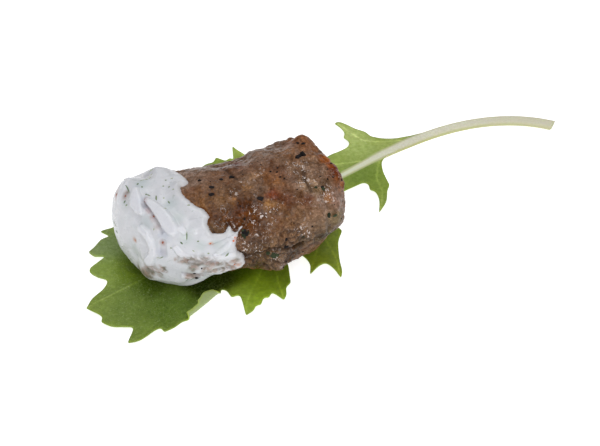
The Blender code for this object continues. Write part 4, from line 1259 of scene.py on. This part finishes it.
class Paint:
    """A Principled material, with nodes added one at a time. Sizes and distances are in mm."""

    def __init__(self, name, **settings):
        self.material = bpy.data.materials.new(name)
        self.material.use_nodes = True
        self.tree = self.material.node_tree
        self.shader = self.tree.nodes["Principled BSDF"]
        self.set(self.shader, settings)

    def set(self, node, settings):
        for label, value in settings.items():
            socket = node.inputs[label.replace("_", " ") if isinstance(label, str) else label]
            if isinstance(value, bpy.types.NodeSocket):
                self.tree.links.new(value, socket)
            else:
                bare_colour = socket.type == "RGBA" and len(value) == 3
                socket.default_value = (*value, 1.0) if bare_colour else value

    def node(self, kind, output, settings=None, **properties):
        made = self.tree.nodes.new(kind)
        for label, value in properties.items():
            setattr(made, label, value)
        self.set(made, settings or {})
        return made.outputs[output]

    def finished(self, **settings):
        """The material, its shader fed by these nodes."""
        self.set(self.shader, settings)
        return self.material

    def place(self):
        return self.node("ShaderNodeTexCoord", "Object")

    def attribute(self, name, output="Fac"):
        return self.node("ShaderNodeAttribute", output, attribute_name=name)

    def noise(self, size, detail=2.0, roughness=0.5, distortion=0.0, output="Fac"):
        """Noise from 0 to 1 with features of this size."""
        return self.node(
            "ShaderNodeTexNoise", output,
            {"Vector": self.place(), "Scale": 1.0 / (size * MM), "Detail": detail,
             "Roughness": roughness, "Distortion": distortion},
        )

    def cell_borders(self, size, warp):
        """Distance from the borders of cells of this size, bent by noise that reaches this far."""
        bend = self.noise(size * BEND_SHARE, output="Color")
        place = self.node(
            "ShaderNodeVectorMath", "Vector", {0: bend, 1: (warp * MM,) * 3, 2: self.place()},
            operation="MULTIPLY_ADD",
        )
        return self.node(
            "ShaderNodeTexVoronoi", "Distance", {"Vector": place, "Scale": 1.0 / (size * MM)},
            feature="DISTANCE_TO_EDGE",
        )

    def ramp(self, value, low, high, start=0.0, end=1.0):
        """A smooth ramp from start to end as value goes from low to high."""
        return self.node(
            "ShaderNodeMapRange", "Result",
            {"Value": value, "From Min": low, "From Max": high, "To Min": start, "To Max": end},
            interpolation_type="SMOOTHSTEP",
        )

    def cloud(self, grain, low, high, start=0.0, end=1.0):
        """Noise of this size, detail, roughness and distortion, ramped between two of its levels."""
        return self.ramp(self.noise(*grain), low, high, start, end)

    def band(self, value, middle, reach):
        """1 where the value is at the middle, fading to 0 this far to either side of it."""
        rise = self.ramp(value, middle - reach, middle)
        return self.times(rise, self.ramp(value, middle, middle + reach, 1.0, 0.0))

    def worked(self, operation, first, second):
        return self.node("ShaderNodeMath", "Value", {0: first, 1: second}, operation=operation)

    def times(self, first, second):
        return self.worked("MULTIPLY", first, second)

    def mix(self, factor, first, second, blend="MIX"):
        """A mix of two colours; 0, 6 and 7 are its colour sockets' places, and 2 its result's."""
        return self.node(
            "ShaderNodeMix", 2, {0: factor, 6: first, 7: second}, data_type="RGBA", blend_type=blend,
        )

    def tinted(self, body, share, low, high):
        """The colour multiplied by a tint that goes from low to high with the share."""
        return self.mix(1.0, body, self.mix(share, low, high), "MULTIPLY")

    def marked(self, body, name, share, tint):
        """The colour drawn towards a tint where a vertex attribute says, by up to this share."""
        return self.mix(self.times(self.attribute(name), share), body, tint)

    def bump(self, grain, distance, strength=1.0):
        """A normal bent by noise of this size, detail, roughness and distortion."""
        settings = {"Height": self.noise(*grain), "Distance": distance * MM, "Strength": strength}
        return self.node("ShaderNodeBump", "Normal", settings)


def meat_material():
    paint = Paint(
        "meat", Roughness=0.5, Specular_IOR_Level=0.06, Coat_Weight=0.34, Coat_Roughness=0.04,
        Coat_IOR=1.45, Subsurface_Weight=0.06, Subsurface_Radius=(0.6, 0.45, 0.35),
        Subsurface_Scale=1.0 * MM,
    )
    broad = paint.cloud((2.6, 6.0, 0.62, 0.6), 0.34, 0.66)
    close = paint.cloud((0.6, 5.0, 0.72, 0.4), 0.30, 0.70)
    rust = paint.cloud((2.4, 5.0, 0.6, 0.8), 0.56, 0.70, 0.0, 0.35)
    pale = paint.cloud((1.2, 4.0, 0.6, 1.4), 0.58, 0.70, 0.0, 0.6)
    fat = paint.cloud((0.6, 2.0, 0.5, 1.6), 0.63, 0.70, 0.0, 0.7)
    speck = paint.cloud((0.6, 2.0, 0.5, 0.5), 0.70, 0.75, 0.0, 0.8)
    # Painted shade: the meat darkened in its creases, pits and crevices.
    crease_shade = paint.ramp(paint.attribute("crease_shade"), 0.25, 1.0, 0.0, 0.65)
    body = paint.tinted(paint.attribute("tone_and_shade", "Color"), broad, (0.66, 0.56, 0.42), (1.26, 1.25, 1.20))
    body = paint.tinted(body, close, (0.54, 0.50, 0.42), (1.44, 1.46, 1.48))
    body = paint.mix(rust, body, colour(112, 58, 20))
    body = paint.tinted(body, pale, WHITE, (1.50, 1.60, 1.65))
    body = paint.tinted(body, fat, WHITE, (2.0, 1.9, 1.5))
    body = paint.mix(speck, body, colour(34, 22, 18))
    body = paint.mix(crease_shade, body, colour(44, 26, 15))
    # Painted glints: thin threads and spots of near white painted into the colour where the glint share
    # says.
    thread = paint.band(paint.noise(1.8, 1.0, 0.5, 1.4), 0.5, 0.045)
    thread = paint.times(thread, paint.cloud((1.1, 1.0), 0.53, 0.57))
    shine = paint.worked("MAXIMUM", thread, paint.cloud((1.0, 1.0, 0.5, 1.2), 0.67, 0.70))
    painted_glint = paint.times(shine, paint.ramp(paint.attribute("glint_paint"), 0.10, 0.7, 0.0, 0.85))
    return paint.finished(
        Base_Color=paint.mix(painted_glint, body, colour(226, 214, 208)),
        Roughness=paint.cloud((1.4, 3.0), 0.35, 0.65, 0.36, 0.60),
        Normal=paint.bump((0.7, 4.0, 0.6, 0.8), 0.22),
        Coat_Normal=paint.bump((1.5, 2.0, 0.5, 0.8), 0.34),
    )


def yoghurt_material():
    paint = Paint(
        "yoghurt", Roughness=0.32, Specular_IOR_Level=0.4, Coat_Weight=0.3, Coat_Roughness=0.15,
        Coat_IOR=1.38, Subsurface_Weight=0.3, Subsurface_Radius=(1.0, 0.9, 0.8),
        Subsurface_Scale=0.8 * MM,
    )
    shaded = paint.cloud((3.4, 3.0, 0.55), 0.48, 0.74, 0.0, 0.45)
    herb = paint.cloud((1.5, 3.0, 0.6, 1.0), 0.64, 0.76, 0.0, 0.4)
    patchy = paint.cloud((2.6, 3.0, 0.55, 1.2), 0.30, 0.58, 0.15, 1.0)
    thin = paint.times(paint.ramp(paint.attribute("thin"), 0.10, 0.80), patchy)
    meaty = paint.mix(paint.cloud((2.0, 3.0), 0.4, 0.6), colour(154, 130, 117), colour(116, 108, 96))
    body = paint.mix(shaded, paint.attribute("tone_and_shade", "Color"), colour(190, 197, 200))
    # Painted highlight: the strokes' raised ridges drawn paler.
    body = paint.marked(body, "raised_highlight", 0.65, colour(217, 218, 224))
    body = paint.mix(herb, body, colour(132, 150, 134))
    # Painted shade: the strokes' hollows drawn lilac grey.
    body = paint.marked(body, "hollow_shade", 0.25, colour(160, 154, 162))
    body = paint.mix(paint.times(thin, 0.92), body, meaty)
    body = paint.marked(body, "edge", 0.25, colour(176, 168, 160))
    rough = paint.cloud((2.6, 2.0), 0.35, 0.65, 0.25, 0.42)
    ripples = paint.bump((1.3, 3.0, 0.5, 0.6), 0.10, 0.7)
    return paint.finished(Base_Color=body, Roughness=rough, Normal=ripples, Coat_Normal=ripples)


def leaf_material():
    paint = Paint(
        "leaf", Roughness=0.5, Specular_IOR_Level=0.18, Subsurface_Weight=0.12,
        Subsurface_Radius=(0.6, 1.0, 0.2), Subsurface_Scale=0.8 * MM,
    )
    along = paint.attribute("along")
    mottle = paint.cloud((1.2, 5.0, 0.7), 0.3, 0.7)
    fine_net = paint.ramp(paint.cell_borders(1.1, 0.5), 0.0, 0.10, 1.0, 0.0)
    dust = paint.cloud((0.45, 3.0, 0.7), 0.55, 0.70, 0.0, 0.45)
    vein = paint.times(paint.attribute("vein"), 0.85)
    body = paint.tinted(paint.attribute("tone_and_shade", "Color"), mottle, (0.80, 0.83, 0.72), (1.18, 1.15, 1.26))
    body = paint.mix(paint.times(fine_net, 0.16), body, colour(150, 170, 90))
    body = paint.marked(body, "tip", dust, colour(158, 172, 122))
    body = paint.tinted(body, vein, WHITE, (1.65, 1.55, 1.95))
    body = paint.marked(body, "under", 0.85, colour(166, 180, 128))
    body = paint.marked(body, "margin", 0.7, colour(164, 184, 62))
    streaks = paint.cloud((0.5, 3.0, 0.6), 0.35, 0.65)
    streaked = paint.mix(streaks, colour(212, 210, 186), colour(224, 222, 204))
    pale = paint.mix(paint.ramp(along, 0.45, 0.75), colour(216, 223, 196), streaked)
    pale = paint.marked(pale, "rib_edge", 0.8, colour(178, 178, 96))
    pale = paint.mix(paint.ramp(along, 0.7, 1.0, 0.0, 0.6), pale, colour(204, 200, 172))
    return paint.finished(
        Base_Color=paint.mix(paint.attribute("rib"), body, pale),
        Roughness=paint.cloud((4.0, 3.0), 0.35, 0.65, 0.4, 0.6),
        Normal=paint.bump((0.6, 4.0, 0.6), 0.07, 0.7),
    )


def fleck_material(name, dark, light, roughness):
    """Chopped herb, pepper or spice, each fleck of its own shade, with a rough grain."""
    paint = Paint(name, Roughness=roughness, Specular_IOR_Level=0.05)
    shade = paint.mix(paint.attribute("shade"), dark, light)
    grain = paint.cloud((0.3, 3.0, 0.6), 0.35, 0.65)
    return paint.finished(Base_Color=paint.tinted(shade, grain, (0.8, 0.8, 0.8), (1.2, 1.2, 1.2)))


def floor_material():
    paint = Paint("floor", Roughness=0.9, Emission_Color=WHITE, Emission_Strength=0.75)
    cloudy = paint.cloud((200.0,), 0.3, 0.7)
    return paint.finished(Base_Color=paint.mix(cloudy, (0.61, 0.61, 0.61), (0.62, 0.62, 0.62)))


# Stage

CAMERA_TILT = math.radians(46.0)      # above the table
CAMERA_TURN = math.radians(18.0)      # to the left of the kofta's own front
CAMERA_AIM = (-10.3 * MM, -1.2 * MM, 0.0)
CAMERA_DISTANCE = 461.7 * MM
LENS = 100.0
CLIPPING = (0.01, 20.0)
FLOOR_REACH = 3.0
FLOOR_DROP = 0.05 * MM
WORLD_STRENGTH = 0.20
LIGHT_AIM = (-0.02, 0.0, 0.01)
# Softboxes: name, place and size in metres, power in watts.
LIGHTS = (
    ("overhead", (-0.05, 0.15, 0.95), (0.60, 0.60), 3.2),
    ("key", (-0.12, -0.52, 0.84), (0.55, 0.45), 3.2),
    ("back", (0.10, 0.70, 0.50), (0.50, 0.30), 0.6),
    ("front", (0.22, -0.72, 0.44), (0.06, 0.06), 1.2),
    ("left", (-0.62, -0.60, 0.35), (0.08, 0.08), 0.8),
)


def add_camera():
    back = Vector((
        -math.sin(CAMERA_TURN) * math.cos(CAMERA_TILT),
        -math.cos(CAMERA_TURN) * math.cos(CAMERA_TILT),
        math.sin(CAMERA_TILT),
    ))
    data = bpy.data.cameras.new("camera")
    data.lens = LENS
    data.clip_start, data.clip_end = CLIPPING
    camera = linked("camera", data)
    camera.location = Vector(CAMERA_AIM) + back * CAMERA_DISTANCE
    camera.rotation_euler = (-back).to_track_quat("-Z", "Y").to_euler()
    bpy.context.scene.camera = camera


def add_light(name, place, size, power):
    data = bpy.data.lights.new(name, "AREA")
    data.shape = "RECTANGLE"
    data.size, data.size_y = size
    data.energy = power
    lamp = linked(name, data)
    lamp.location = place
    lamp.rotation_euler = (Vector(LIGHT_AIM) - Vector(place)).to_track_quat("-Z", "Y").to_euler()


def add_stage():
    mesh = bpy.data.meshes.new("floor")
    corners = [(x * FLOOR_REACH, y * FLOOR_REACH, 0) for x, y in ((-1, -1), (1, -1), (1, 1), (-1, 1))]
    mesh.from_pydata(corners, [], [(0, 1, 2, 3)])
    mesh.materials.append(floor_material())
    floor = linked("floor", mesh)
    floor.location.z = -FLOOR_DROP
    world = bpy.data.worlds.new("studio")
    world.use_nodes = True
    background = world.node_tree.nodes["Background"]
    background.inputs["Color"].default_value = (1.0, 1.0, 1.0, 1.0)
    background.inputs["Strength"].default_value = WORLD_STRENGTH
    bpy.context.scene.world = world
    for light in LIGHTS:
        add_light(*light)
    bpy.context.scene.view_settings.view_transform = "Standard"


def main():
    noise.seed_set(NOISE_SEED)
    leaf_top = make_leaf(leaf_material())
    meat, coat_base = make_kofta(meat_material(), leaf_top)
    coat = make_yoghurt(yoghurt_material(), coat_base)
    maker = random.Random(FLECK_SEED)
    more_pepper = strewn(maker, STREWN, HIDDEN_SIDES, HIDDEN_REACHES, PEPPER_SIZES)
    specks = strewn(maker, SPECKS, SPECK_SIDES, SPECK_REACHES, SPECK_SIZES)
    more_herbs = strewn(maker, STREWN // 2, HIDDEN_SIDES, HIDDEN_REACHES, HERB_SIZES)
    more_dill = strewn_shreds(maker, STREWN, DILL_SIDES, DILL_REACHES)
    black = fleck_material("pepper", colour(20, 18, 18), colour(40, 36, 36), 0.6)
    dark_green = fleck_material("meat_herbs", colour(30, 36, 26), colour(62, 70, 50), 0.5)
    green = fleck_material("dill", colour(88, 112, 84), colour(166, 174, 142), 0.5)
    rusty = fleck_material("spice", colour(132, 92, 80), colour(206, 112, 70), 0.5)
    scatter("pepper_crumbs", black, meat, PEPPER + specks + more_pepper, 0.6, 0.1)
    scatter("herb_bits", dark_green, meat, MEAT_HERBS + more_herbs, 0.3, 0.0)
    shreds("dill_shreds", green, coat, SHREDS + more_dill, 0.1)
    scatter("spice_bits", rusty, coat, SPICE, 0.3, 0.04)
    scatter("dark_bits", black, coat, DARK_BITS, 0.3, 0.04)
    add_camera()
    add_stage()


main()
